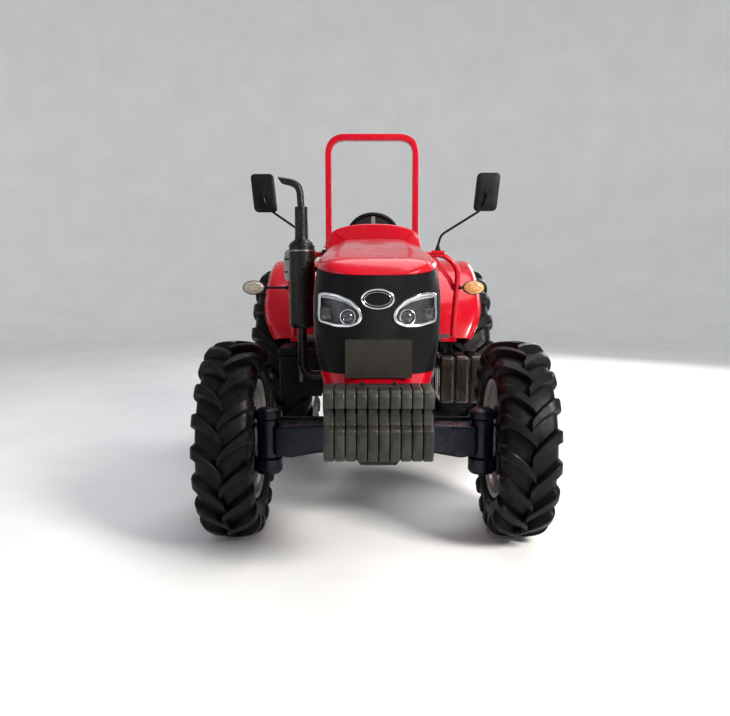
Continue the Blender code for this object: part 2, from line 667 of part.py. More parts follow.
def front_weights():
    """A row of suitcase weights hooked over the cross bar, with a groove between each two."""
    face = FRONT_Y - FRONT_OVERHANG
    back = face + WEIGHT_DEPTH
    slope = 0.014
    outline = [(face, WEIGHT_TOP - slope), (face + slope, WEIGHT_TOP), (back, WEIGHT_TOP),
               (back, WEIGHT_BOTTOM), (face + WAIST_DEPTH, WEIGHT_BOTTOM),
               (face + 0.004, WEIGHT_CHIN), (face + 0.004, WEIGHT_WAIST_BOTTOM - slope),
               (face + WAIST_DEPTH * 0.5, WEIGHT_WAIST_BOTTOM),
               (face + WAIST_DEPTH, WEIGHT_WAIST_BOTTOM + 0.012),
               (face + WAIST_DEPTH, WEIGHT_WAIST_TOP - 0.010), (face, WEIGHT_WAIST_TOP)]
    half = WEIGHTS * WEIGHT_PITCH / 2
    block = prism("front_weights", outline, "X", -half, half, "rough_iron")
    tools = []
    for i in range(1, WEIGHTS):
        x = -half + i * WEIGHT_PITCH
        groove = [(x - 0.004, face - 0.01), (x + 0.004, face - 0.01), (x, face + 0.012 + WAIST_DEPTH)]
        tools.append(prism("weight_groove_tool", groove, "Z", WEIGHT_BOTTOM - 0.02,
                           WEIGHT_TOP + 0.02))
    hook = box("hook_slot_tool", (-half - 0.01, FRAME_FRONT - CARRIER_DEPTH - GAP, CARRIER_BOTTOM - GAP),
               (half + 0.01, back + 0.02, FRAME_TOP - 0.01 + GAP))
    return cut(block, *tools, hook)


def drawbar():
    y = REAR_Y - HOUSING_LENGTH / 2 + 0.11
    top = HOUSING_BOTTOM - GAP
    bar = box("drawbar", (-0.04, y, top - 0.032), (0.04, REAR_Y + 0.50, top), "engine_black", 0.004)
    hole = rod("drawbar_hole_tool", (0, REAR_Y + 0.46, top - 0.06), (0, REAR_Y + 0.46, top + 0.03),
               0.0135)
    return cut(bar, hole)


# ---- Bonnet -----------------------------------------------------------------------------
def belly(z):
    """How the nose swells: the share of its full width at a height."""
    low = np.maximum(BELLY_Z - z, 0.0) / 0.285
    high = np.maximum(z - BELLY_Z, 0.0) / 0.20
    return 1.0 - 0.10 * low**2 - 0.07 * high**2


def plan_half(y):
    """The bonnet's half width at its widest height, seen from above."""
    along = np.clip((NOSE_BACK - y) / NOSE_LENGTH, 0.0, 1.0)
    return BONNET_HALF * (1.0 - along**NOSE_POWER) ** (1.0 / NOSE_POWER)


def nose_y(x, z):
    """The nose's outer surface: how far forward it is at a place across and up."""
    share = np.clip(np.abs(x) / (BONNET_HALF * belly(z)), 0.0, 1.0)
    return NOSE_BACK - NOSE_LENGTH * (1.0 - share**NOSE_POWER) ** (1.0 / NOSE_POWER)


def crown(y):
    """The bonnet's height on its centre line, with the steep band above the grille."""
    crest = NOSE_Y + BAND_DEPTH
    back = np.clip((BONNET_REAR - y) / (BONNET_REAR - crest), 0.0, 1.0)
    steep = np.clip((crest - y) / BAND_DEPTH, 0.0, 1.0)
    return BAND_TOP + CROWN_RISE * (1.0 - back**1.6) - 0.067 * steep**1.4


def shoulder(y):
    """The height where the side walls turn into the roof."""
    along = np.clip((y - NOSE_Y) / (BONNET_REAR - NOSE_Y), 0.0, 1.0)
    return 1.430 + 0.100 * (1.0 - (1.0 - along) ** 3.2)


def skirt(y):
    """The height of the bonnet's lower edge."""
    along = np.clip((y - NOSE_Y) / (BONNET_REAR - NOSE_Y), 0.0, 1.0)
    drop = np.clip(along / 0.13, 0.0, 1.0)
    return 0.942 - 0.082 * drop**1.5 + 0.15 * np.clip(along - 0.13, 0.0, 1.0)


def side_x(y, z):
    return plan_half(y) * belly(z)


def stations(turn_steps, straight_steps):
    """Places along the bonnet: round the nose to the grille's end, then evenly to the rear."""
    turn = np.radians(np.append(np.linspace(0, GRILLE_END, turn_steps), 90))
    nose = NOSE_BACK - NOSE_LENGTH * np.cos(turn) ** (2.0 / NOSE_POWER)
    straight = np.linspace(NOSE_BACK, BONNET_REAR, straight_steps + 1)[1:]
    return np.concatenate([nose, straight])


def bonnet():
    """The hollow red cover: roof, side panels and the lip under the grille."""
    bm = bmesh.new()
    places = stations(6, 4)
    crest = NOSE_Y + BAND_DEPTH
    places = np.sort(np.append(places, crest))
    grille_y = NOSE_BACK - NOSE_LENGTH * math.cos(math.radians(GRILLE_END)) ** (2 / NOSE_POWER)
    grille_from = int(np.argmin(np.abs(places - grille_y)))
    roof_turn = np.radians([0.0, 22.0, 42.0, 60.0, 76.0, 90.0])
    rows = []
    for y in places:
        walls = np.array([skirt(y), GRILLE_BOTTOM, 1.08, 1.17, BELLY_Z, 1.36, shoulder(y)])
        wall_x = side_x(y, walls)
        rise = crown(y) - shoulder(y)
        roof_x = wall_x[-1] * np.cos(roof_turn[1:]) ** (2 / SHOULDER_POWER)
        roof_z = shoulder(y) + rise * np.sin(roof_turn[1:]) ** (2 / SHOULDER_POWER)
        x = np.concatenate([wall_x, roof_x])
        z = np.concatenate([walls, roof_z])
        x[-1] = 0.0
        row = list(zip(x, z)) + list(zip(-x[-2::-1], z[-2::-1]))
        rows.append([bm.verts.new((a, y, b)) for a, b in row])
    last = len(rows[0]) - 1
    for i in range(len(rows) - 1):
        for j in range(last):
            in_grille = i < grille_from and 1 <= min(j, last - 1 - j) <= 5
            if not in_grille:
                bm.faces.new((rows[i][j], rows[i + 1][j], rows[i + 1][j + 1], rows[i][j + 1]))
    cover = sheet_object(bm, "bonnet", BONNET_SHEET, "red_paint")
    lugs = []
    for side in (1, -1):
        x = side * HINGE_X
        pin_z = hinge_z()
        outline = [(HINGE_Y - 0.075, crown(HINGE_Y - 0.09) - BONNET_SHEET * 0.6),
                   (HINGE_Y - 0.008, crown(BONNET_REAR) - BONNET_SHEET * 0.8),
                   (HINGE_Y + 0.014, pin_z + 0.012), (HINGE_Y + 0.014, pin_z - 0.014),
                   (HINGE_Y - 0.018, pin_z - 0.018)]
        lug = prism("hinge_lug_tool", outline, "X", x - 0.006, x + 0.006)
        lugs.append(lug)
    reach = HINGE_X + 0.040
    bore = rod("hinge_bore_tool", (-reach, HINGE_Y, hinge_z()), (reach, HINGE_Y, hinge_z()),
               HINGE_RADIUS + RUN)
    cut(fuse(cover, *lugs), bore)
    return pivot(cover, (0, HINGE_Y, hinge_z()))


def hinge_z():
    return float(crown(BONNET_REAR)) - HINGE_DROP


def grille():
    """The black mesh face, just inside the bonnet's front opening."""
    end = math.radians(GRILLE_END - 1.5)
    turn = np.linspace(-end, end, 13)
    share = np.sign(turn) * np.abs(np.sin(turn)) ** (2 / NOSE_POWER)
    bm = bmesh.new()
    inset = 0.0035
    sheets = []
    for depth in (inset, inset + GRILLE_SHEET):
        sheet = []
        for level in np.linspace(0, 1, 6):
            row = []
            for s in share:
                shrink = 1 - depth / BONNET_HALF
                y = NOSE_BACK - (NOSE_LENGTH - depth) * (1 - abs(s) ** NOSE_POWER) ** (1 / NOSE_POWER)
                low = GRILLE_BOTTOM + 0.0050
                high = float(shoulder(y)) - 0.0070
                z = low + (high - low) * level
                row.append(bm.verts.new((s * BONNET_HALF * shrink * float(belly(z)), y, z)))
            sheet.append(row)
        sheets.append(sheet)
    rows, columns = 6, len(share)
    for sheet in sheets:
        for i in range(rows - 1):
            for j in range(columns - 1):
                bm.faces.new((sheet[i][j], sheet[i][j + 1], sheet[i + 1][j + 1], sheet[i + 1][j]))
    near, far = sheets
    rim = ([(0, j) for j in range(columns)] + [(i, columns - 1) for i in range(1, rows)]
           + [(rows - 1, j) for j in range(columns - 2, -1, -1)]
           + [(i, 0) for i in range(rows - 2, 0, -1)])
    for (a, b), (c, d) in zip(rim, rim[1:] + rim[:1]):
        bm.faces.new((near[a][b], near[c][d], far[c][d], far[a][b]))
    face = finish_mesh(bm, "grille", "black_mesh", 50.0)
    holes = [prism("lamp_hole_tool", grown(lamp_outline(side), 2 * GAP), "Y",
                   NOSE_Y - 0.05, NOSE_BACK) for side in (1, -1)]
    tab = box("grille_tab_tool", (-0.05, NOSE_Y + 0.0018, GRILLE_BOTTOM + GAP),
              (0.05, NOSE_Y + 0.0058, GRILLE_BOTTOM + 0.012))
    cut(fuse(face, tab), *holes)
    return pivot(face, (0, HINGE_Y, hinge_z()))


def lamp_outline(side):
    """A headlamp seen from the front: upright outer side, top falling towards the middle."""
    points = [(0.272, 1.208), (0.277, 1.245), (0.274, 1.348), (0.240, 1.356), (0.185, 1.347),
              (0.118, 1.320), (0.077, 1.278), (0.066, 1.246), (0.082, 1.215), (0.115, 1.201),
              (0.190, 1.196)]
    return [(side * x, z) for x, z in points]


def grown(outline, by):
    """An outline moved outwards from its middle."""
    middle = np.mean(outline, axis=0)
    return [tuple(np.array(p) + by * (np.array(p) - middle) / np.linalg.norm(np.array(p) - middle))
            for p in outline]


def headlamp(side_name, side):
    """A headlamp unit whose face follows the nose."""
    outline = lamp_outline(side)
    middle = np.mean(outline, axis=0)
    bm = bmesh.new()
    rings = []
    for share in (1.0, 0.66, 0.33):
        ring = [middle + share * (np.array(p) - middle) for p in outline]
        rings.append([bm.verts.new((x, float(nose_y(x, z)) - LAMP_PROUD, z)) for x, z in ring])
    tip = bm.verts.new((middle[0], float(nose_y(*middle)) - LAMP_PROUD, middle[1]))
    back = [bm.verts.new((x, float(nose_y(x, z)) + LAMP_DEPTH, z)) for x, z in outline]
    count = len(outline)
    for i in range(count):
        j = (i + 1) % count
        bm.faces.new((rings[0][i], rings[0][j], rings[1][j], rings[1][i]))
        bm.faces.new((rings[1][i], rings[1][j], rings[2][j], rings[2][i]))
        bm.faces.new((rings[2][i], rings[2][j], tip))
        bm.faces.new((rings[0][i], rings[0][j], back[j], back[i]))
    heart = bm.verts.new((middle[0], float(nose_y(*middle)) + LAMP_DEPTH, middle[1]))
    for i in range(count):
        bm.faces.new((back[i], back[(i + 1) % count], heart))
    lamp = finish_mesh(bm, f"headlamp_{side_name}", "clear_lamp")
    return pivot(lamp, (0, HINGE_Y, hinge_z()))


def badge():
    """A blank oval badge standing on the grille."""
    turn = [math.tau * i / 20 for i in range(20)]
    outline = [(BADGE_HALF[0] * math.cos(t), BADGE_Z + BADGE_HALF[1] * math.sin(t)) for t in turn]
    seat = NOSE_Y + 0.0035 - GAP
    oval = prism("badge", outline, "Y", seat - 0.010, seat, "chrome", 0.003)
    return pivot(oval, (0, HINGE_Y, hinge_z()))


def number_plate():
    """A blank number plate on two spacers that stand on the grille."""
    half, high = PLATE_SIZE[0] / 2, PLATE_SIZE[1] / 2
    seat = NOSE_Y - 0.006
    plate = box("number_plate", (-half, seat - PLATE_SHEET, PLATE_Z - high),
                (half, seat, PLATE_Z + high), "plate_grey")
    spacers = []
    for side in (1, -1):
        x = side * 0.06
        # each spacer ends just short of the grille's face behind it
        end = float(nose_y(x + 0.012, PLATE_Z)) + 0.0035 + 0.0004
        spacers.append(rod("spacer_tool", (x, seat - 0.001, PLATE_Z), (x, end, PLATE_Z), 0.010))
    fuse(plate, *spacers)
    return pivot(plate, (0, HINGE_Y, hinge_z()))


# ---- Cowl and steering ------------------------------------------------------------------
def cowl_outline(inset=0.0, low=PLATFORM_TOP + GAP):
    """The cowl seen from the front, as its right half and its left half."""
    half = COWL_HALF - inset
    top = COWL_TOP - inset
    right = [(0.20 - inset, low), (half - 0.030, 1.26), (half, 1.50), (half, 1.62),
             (half - 0.022, top - 0.078), (half - 0.040, top - 0.050), (half - 0.075, top - 0.030),
             (half * 0.42, top - 0.006), (0, top)]
    return mirrored(right)


def dash_cowl():
    """The red cowl in front of the driver: a hollow cover with its instrument face."""
    cowl = prism("dash_cowl", cowl_outline(), "Y", COWL_FRONT, COWL_REAR, "red_paint", 0.006)
    inner = prism("cowl_hollow_tool", cowl_outline(COWL_SHEET, PLATFORM_TOP - 0.05), "Y",
                  COWL_FRONT + COWL_SHEET, COWL_REAR - COWL_SHEET)
    hole_at = column_point(-0.36)
    hole = rod("column_hole_tool", hole_at, column_point(-0.15), COLUMN_RADIUS + GAP + 0.0005)
    arms = []
    for side in (1, -1):
        inner_x, outer_x = side * (HINGE_X + 0.0075), side * (HINGE_X + 0.0195)
        arms.append(box("hinge_arm_tool", (min(inner_x, outer_x), HINGE_Y - 0.012, hinge_z() - 0.012),
                        (max(inner_x, outer_x), COWL_FRONT + 0.004, hinge_z() + 0.010)))
        arms.append(rod("hinge_pin_tool", (side * (HINGE_X - 0.010), HINGE_Y, hinge_z()),
                        (side * (HINGE_X + 0.016), HINGE_Y, hinge_z()), HINGE_RADIUS, steps=12))
    cut(cowl, inner, hole)
    return fuse(cowl, *arms)


def steer_axis():
    return Vector((0, math.sin(STEER_TILT), math.cos(STEER_TILT)))


def column_point(distance):
    """A point on the steering column's axis, measured from the wheel's middle."""
    return Vector((0, STEER_Y, STEER_Z)) + steer_axis() * distance


def steering_column():
    start = column_point(-0.34)
    end = column_point(-0.022)
    profile = [(0, 0), (0, COLUMN_RADIUS), (0.27, COLUMN_RADIUS), (0.29, 0.024),
               ((end - start).length, 0.024), ((end - start).length, 0)]
    return turned("steering_column", profile, start, steer_axis(), "black_satin", steps=16)


def steering_wheel():
    centre = column_point(0)
    grip = [(STEER_GRIP * math.cos(t), STEER_RADIUS + STEER_GRIP * math.sin(t))
            for t in np.linspace(0, math.tau, 7)[:-1]]
    rim = turned("steering_wheel", grip, centre, steer_axis(), "black_satin", steps=24, closed=True)
    hub = turned("wheel_hub_tool", [(-0.0215, 0), (-0.0215, 0.05), (0.012, 0.055), (0.018, 0)],
                 centre, steer_axis(), steps=12)
    side = Vector((1, 0, 0))
    up = steer_axis().cross(side).normalized()
    spokes = []
    for turn in (math.radians(90), math.radians(210), math.radians(330)):
        outward = side * math.cos(turn) + up * math.sin(turn)
        across = steer_axis().cross(outward)
        path = [centre + outward * 0.03 - steer_axis() * 0.008, centre + outward * STEER_RADIUS]
        spokes.append(swept("spoke_tool", path, rectangle(0.034, 0.010), up=steer_axis()))
    fuse(rim, hub, *spokes)
    return pivot(rim, centre)


# ---- Rails, mirrors and lamps -----------------------------------------------------------
def hand_rail(side_name, side):
    """The tube that runs out from the cowl, down its slope and onto the platform's corner."""
    points = [(side * (COWL_HALF + GAP), RAIL_Y, RAIL_Z), (side * 0.470, RAIL_Y, RAIL_Z),
              (side * RAIL_OUT, RAIL_Y, RAIL_KNEE_Z),
              (side * (RAIL_OUT - RAIL_TUCK), RAIL_Y + RAIL_BACK, PLATFORM_TOP + 0.06),
              (side * (RAIL_OUT - RAIL_TUCK), RAIL_Y + RAIL_BACK, PLATFORM_TOP + GAP)]
    path = rounded_path(points, 0.05)
    rail = swept(f"hand_rail_{side_name}", path, circle(RAIL_RADIUS), "red_paint")
    pad = box("mirror_pad_tool", (side * 0.427 - 0.030, RAIL_Y - 0.022, RAIL_Z + 0.004),
              (side * 0.427 + 0.030, RAIL_Y + 0.022, RAIL_Z + 0.024))
    foot_x, foot_y = side * (RAIL_OUT - RAIL_TUCK), RAIL_Y + RAIL_BACK
    foot = box("rail_foot_tool", (foot_x - 0.024, foot_y - 0.026, PLATFORM_TOP + GAP),
               (foot_x + 0.024, foot_y + 0.026, PLATFORM_TOP + 0.010))
    return fuse(rail, pad, foot)


def mirror(side_name, side):
    """A rear-view mirror on its bent arm, bolted to the hand rail's pad."""
    base = (side * 0.427, RAIL_Y, RAIL_Z + 0.024 + GAP)
    x = side * MIRROR_X[side]
    back = RAIL_Y - MIRROR_SIZE[1] / 2 - 0.010
    points = [base, (base[0], base[1], base[2] + 0.030), (side * 0.447, RAIL_Y, 1.689),
              (x - side * 0.040, RAIL_Y, 1.850),
              (x - side * 0.012, back - 0.020, 1.905), (x, back + 0.004, MIRROR_Z)]
    arm = swept(f"mirror_{side_name}", rounded_path(points, 0.03, 3), circle(MIRROR_ARM_RADIUS, 8),
                "black_satin")
    half_x, half_z, r = MIRROR_SIZE[0] / 2, MIRROR_SIZE[2] / 2, 0.028
    outline = []
    lean = side * 0.045
    for cx, cz, start in ((1, 1, 0), (-1, 1, 90), (-1, -1, 180), (1, -1, 270)):
        for step in range(3):
            t = math.radians(start + 45 * step)
            px = cx * (half_x - r) + r * math.cos(t)
            pz = cz * (half_z - r) + r * math.sin(t)
            outline.append((x + px + lean * pz / half_z * 0.3, MIRROR_Z + pz))
    head = prism("mirror_head_tool", outline, "Y", back, back + MIRROR_SIZE[1], bevel=0.004)
    flange = rod("mirror_flange_tool", base, (base[0], base[1], base[2] + 0.010), 0.018, steps=12)
    return fuse(arm, head, flange)


def side_lamp(side_name, side, lamp_x):
    """An oval amber lamp on a stalk from the hand rail."""
    down = (RAIL_KNEE_Z - LAMP_Z) / (RAIL_KNEE_Z - PLATFORM_TOP - 0.06)
    y = RAIL_Y + RAIL_BACK * down
    rail_x = RAIL_OUT - RAIL_TUCK * down + RAIL_RADIUS * math.cos(math.pi / 10)
    start = (side * (rail_x + GAP + 0.0006), y, LAMP_Z)
    stalk_end = (lamp_x - side * (LAMP_HALF[0] - 0.012), y, LAMP_Z)
    stalk = rod(f"side_lamp_{side_name}", start, stalk_end, 0.008, "amber_lamp", 10)
    steps = 16
    outline = [(lamp_x + LAMP_HALF[0] * math.cos(math.tau * i / steps),
                LAMP_Z + LAMP_HALF[2] * math.sin(math.tau * i / steps)) for i in range(steps)]
    body = prism("lamp_body_tool", outline, "Y", y - LAMP_HALF[1], y + LAMP_HALF[1], bevel=0.010)
    return fuse(stalk, body)


# ---- Exhaust, air cleaner, tank and battery ---------------------------------------------
def muffler():
    """The upright silencer with its inlet from the engine and its bent tail pipe."""
    length = NECK_TOP - MUFFLER_BOTTOM
    shoulder_at = MUFFLER_TOP - MUFFLER_BOTTOM
    profile = [(0, 0), (0, MUFFLER_RADIUS * 0.8), (0.02, MUFFLER_RADIUS), (shoulder_at, MUFFLER_RADIUS),
               (shoulder_at + 0.039, NECK_RADIUS), (length, NECK_RADIUS), (length, 0)]
    can = turned("muffler", profile, (MUFFLER_X, MUFFLER_Y, MUFFLER_BOTTOM), (0, 0, 1),
                 "black_satin", steps=20)
    tail = [(MUFFLER_X, MUFFLER_Y, NECK_TOP - 0.03), (MUFFLER_X, MUFFLER_Y, 1.885),
            (MUFFLER_X - 0.028, MUFFLER_Y, 1.925), (MUFFLER_X - 0.125, MUFFLER_Y, 1.937)]
    pipe = swept("tail_tool", rounded_path(tail, 0.045), circle(TAIL_RADIUS))
    inlet = [(MUFFLER_X, MUFFLER_Y, MUFFLER_BOTTOM + 0.03), (MUFFLER_X, MUFFLER_Y, 0.872),
             (-ENGINE_HALF - GAP, MUFFLER_Y, 0.872)]
    down = swept("inlet_tool", rounded_path(inlet, 0.06), circle(TAIL_RADIUS))
    return fuse(can, pipe, down)


def air_cleaner():
    """The grey canister behind the silencer, on an arm from the cowl."""
    x, y = MUFFLER_X - 0.052, MUFFLER_Y + 0.20
    profile = [(0, 0), (0, CLEANER_RADIUS * 0.85), (0.02, CLEANER_RADIUS), (0.155, CLEANER_RADIUS),
               (0.185, CLEANER_RADIUS * 0.7), (0.185, 0)]
    can = turned("air_cleaner", profile, (x, y, 1.392), (0, 0, 1), "canister_grey", steps=20)
    arm_x = -COWL_HALF - 0.018
    arm = [(x + 0.05, y, 1.46), (arm_x - 0.012, y + 0.09, 1.46), (arm_x - 0.012, COWL_FRONT - 0.03, 1.52),
           (arm_x - 0.012, COWL_FRONT + 0.06, 1.56)]
    strap = swept("cleaner_arm_tool", arm, rectangle(0.006, 0.030), up=(0, 0, 1))
    pad = box("cleaner_pad_tool", (-COWL_HALF - 0.034, COWL_FRONT + 0.03, 1.53),
              (-COWL_HALF - GAP, COWL_FRONT + 0.07, 1.59))
    return fuse(can, strap, pad)


def fuel_tank():
    """The side tank under the platform, with two pressed grooves, hung from the platform."""
    front = PLATFORM_FRONT + 0.175
    back = REAR_Y - REAR_TYRE["radius"] - TYRE_ROOM
    low, high = (TANK_X[0], front, TANK_Z[0]), (TANK_X[1], back, TANK_Z[1])
    tank = box("fuel_tank", low, high, "tank_brown", 0.030)
    grooves = []
    for share in (0.34, 0.66):
        x = TANK_X[0] + share * (TANK_X[1] - TANK_X[0])
        grooves.append(box("tank_groove_tool", (x - 0.009, front - 0.02, TANK_Z[0] - 0.02),
                           (x + 0.009, front + 0.010, TANK_Z[1] + 0.02)))
    hanger = box("tank_hanger_tool", (TANK_X[0] + 0.03, front + 0.09, TANK_Z[1] - 0.02),
                 (PLATFORM_HALF - 0.02, front + 0.13, PLATFORM_BOTTOM - GAP))
    hanger_back = box("tank_hanger_tool", (TANK_X[0] + 0.03, front + 0.25, TANK_Z[1] - 0.02),
                      (PLATFORM_HALF - 0.02, front + 0.29, PLATFORM_BOTTOM - GAP))
    cap = rod("filler_cap_tool", (TANK_X[1] - 0.09, front + 0.09, TANK_Z[1] - 0.01),
              (TANK_X[1] - 0.09, front + 0.09, TANK_Z[1] + 0.035), 0.035, steps=16)
    return fuse(cut(tank, *grooves), hanger, hanger_back, cap)


def battery_box():
    front = PLATFORM_FRONT + 0.16
    body = box("battery_box", (BATTERY_X[0], front, BATTERY_Z[0]),
               (BATTERY_X[1], REAR_Y - REAR_TYRE["radius"] - TYRE_ROOM, BATTERY_Z[1]),
               "engine_black", 0.010)
    hanger = box("battery_hanger_tool", (BATTERY_X[0] + 0.10, front + 0.05, BATTERY_Z[1] - 0.01),
                 (BATTERY_X[1] - 0.02, front + 0.22, PLATFORM_BOTTOM - GAP))
    strap = box("battery_strap_tool", (-0.500, front - 0.006, BATTERY_Z[0] + 0.12),
                (-0.480, front + 0.01, BATTERY_Z[1] - 0.02))
    return fuse(body, hanger, strap)


# ---- Operator's station -----------------------------------------------------------------
def platform():
    """The floor plate, wide in front of the fenders and narrow between them."""
    rear = REAR_Y - ROPS_BAR[1] / 2 - 0.02
    step = COWL_REAR - 0.04
    wide_end = fender_front() - 0.012
    right = [(PLATFORM_WAIST, rear), (PLATFORM_WAIST, wide_end), (PLATFORM_HALF, wide_end),
             (PLATFORM_HALF, step), (0.32, step), (0.32, PLATFORM_FRONT)]
    outline = right + [(-x, y) for x, y in reversed(right)]
    return prism("platform", outline, "Z", PLATFORM_BOTTOM, PLATFORM_TOP, "floor_mat", 0.003)


def fender_front():
    """How far back the fender's front edge is."""
    return REAR_Y - FENDER_RADIUS * math.cos(FENDER_FRONT_ANGLE)


def fender(side_name, side):
    """A rear fender: the arched skin with its outer lip, and the wall beside the driver."""
    points = []
    base = PLATFORM_TOP - 0.04 - REAR_Z
    angles = np.linspace(FENDER_FRONT_ANGLE, FENDER_REAR_ANGLE, 16)
    for angle in angles:
        low = base / math.sin(angle)
        low = min(max(low, TRUMPET_RADIUS + 0.10), FENDER_RADIUS - 0.10)
        section = [(FENDER_IN, low), (FENDER_IN, FENDER_RADIUS - 0.045),
                   (FENDER_IN + 0.012, FENDER_RADIUS - 0.014), (FENDER_IN + 0.045, FENDER_RADIUS),
                   (FENDER_OUT - FENDER_ROUND, FENDER_RADIUS - 0.004),
                   (FENDER_OUT - 0.022, FENDER_RADIUS - 0.022),
                   (FENDER_OUT, FENDER_RADIUS - 0.050), (FENDER_OUT + 0.013, FENDER_RADIUS - FENDER_LIP)]
        row = [(side * x, REAR_Y - r * math.cos(angle), REAR_Z + r * math.sin(angle))
               for x, r in section]
        points.append(row if side > 0 else row[::-1])
    return grid_solid(f"fender_{side_name}", points, FENDER_SHEET, "red_paint")


def rops():
    """The roll-over hoop: a bent rectangular tube standing on the rear axle's trumpets."""
    x = ROPS_HALF - ROPS_BAR[0] / 2
    low = REAR_Z + TRUMPET_RADIUS * math.cos(math.pi / 24) + GAP
    top = ROPS_TOP - ROPS_BAR[0] / 2
    points = [(x, REAR_Y, low), (x, REAR_Y, top), (-x, REAR_Y, top), (-x, REAR_Y, low)]
    hoop = swept("rops", rounded_path(points, ROPS_BEND - ROPS_BAR[0] / 2, 6),
                 rectangle(*ROPS_BAR), "red_paint")
    feet = [box("rops_foot_tool", (side * x - 0.05, REAR_Y - 0.07, low),
                (side * x + 0.05, REAR_Y + 0.07, low + 0.014)) for side in (1, -1)]
    sleeves = [box("rops_sleeve_tool", (side * x - 0.026, REAR_Y - 0.046, low + 0.005),
                   (side * x + 0.026, REAR_Y + 0.046, low + ROPS_FOOT)) for side in (1, -1)]
    return fuse(hoop, *feet, *sleeves)


def seat():
    """The seat's stand, its cushion and its back rest."""
    front, back = SEAT_Y - 0.14, REAR_Y - ROPS_BAR[1] / 2 - 0.03
    outline = [(front - 0.03, PLATFORM_TOP + GAP), (back, PLATFORM_TOP + GAP),
               (back, SEAT_Z - GAP), (SEAT_Y - 0.17, SEAT_Z - GAP), (SEAT_Y - 0.17, SEAT_Z - 0.03),
               (front, SEAT_Z - 0.06)]
    stand = prism("seat_base", outline, "X", -0.15, 0.15, "black_satin", 0.008)
    plate = 0.012

    def face(z):
        return back - 0.004 + SEAT_LEAN * (z - SEAT_Z)

    foot, head = SEAT_Z - 0.05, SEAT_Z + 0.36
    bracket = [(face(foot), foot), (face(foot) + plate, foot),
               (face(head) + plate, head), (face(head), head)]
    fuse(stand, prism("back_bracket_tool", bracket, "X", -0.10, 0.10))
    cushion = box("seat_cushion", (-SEAT_HALF, SEAT_Y - SEAT_LENGTH / 2 - 0.03, SEAT_Z),
                  (SEAT_HALF, back - 0.035, SEAT_Z + CUSHION_THICK), "seat_vinyl", 0.02)
    low, high = SEAT_Z + CUSHION_THICK + 0.012, SEAT_Z + CUSHION_THICK + BACK_HEIGHT
    rest = [(face(low) - GAP - 0.095, low), (face(low) - GAP, low), (face(high) - GAP, high),
            (face(high) - GAP - 0.070, high)]
    prism("seat_back", rest, "X", -SEAT_HALF + 0.01, SEAT_HALF - 0.01, "seat_vinyl", 0.018)
    return stand, cushion


def pedals():
    """Clutch and brake pedals on one cross shaft in front of the driver's feet."""
    y, z = COWL_REAR + 0.075, PLATFORM_TOP + 0.062
    shaft = rod("pedals", (-0.28, y, z), (0.28, y, z), 0.010, "black_satin", 10)
    parts = []
    for x in (-0.25, -0.15, 0.24):
        path = [(x, y, z), (x, y + 0.06, z + 0.10), (x, y + 0.05, z + 0.17)]
        parts.append(swept("pedal_arm_tool", path, rectangle(0.012, 0.020)))
        parts.append(box("pedal_pad_tool", (x - 0.040, y + 0.035, z + 0.155),
                         (x + 0.040, y + 0.075, z + 0.175), bevel=0.004))
    for x in (-0.20, 0.19):
        parts.append(box("pedal_bracket_tool", (x - 0.010, y - 0.020, PLATFORM_TOP + GAP),
                         (x + 0.010, y + 0.020, z + 0.018)))
    return fuse(shaft, *parts)


def shift_levers():
    """Two gear levers on a floor console between the driver's knees."""
    y, z = SEAT_Y - 0.33, PLATFORM_TOP + GAP
    console = box("shift_levers", (-0.11, y - 0.06, z), (0.11, y + 0.06, z + 0.05), "black_satin", 0.008)
    parts = []
    for side in (1, -1):
        path = [(side * 0.06, y, z + 0.03), (side * 0.07, y - 0.015, z + 0.20),
                (side * 0.10, y - 0.005, z + 0.34)]
        parts.append(swept("lever_tool", path, circle(0.008, 8)))
        knob = [(0, 0), (0.004, 0.016), (0.022, 0.024), (0.040, 0.016), (0.046, 0)]
        parts.append(turned("knob_tool", knob, (side * 0.098, y - 0.005, z + 0.325), (0, 0, 1), steps=12))
    return fuse(console, *parts)


# ---- Three-point linkage ----------------------------------------------------------------
def hitch_housing():
    """The lift housing on the rear axle, with the rockshaft's bearing through it."""
    low = PLATFORM_BOTTOM
    body = box("hitch_housing", (-ARM_X + 0.022, SHAFT_Y - 0.075, low),
               (ARM_X - 0.022, SHAFT_Y + 0.055, SHAFT_Z + 0.070), "navy_iron", 0.010)
    bore = rod("rockshaft_bore_tool", (-0.30, SHAFT_Y, SHAFT_Z), (0.30, SHAFT_Y, SHAFT_Z),
               ROCKSHAFT_RADIUS + RUN, steps=16)
    return cut(body, bore)


def swing(origin_y, origin_z, length, angle=PARKED):
    """The far end of an arm of a length at an angle above the floor, towards the rear."""
    return origin_y + length * math.cos(angle), origin_z + length * math.sin(angle)


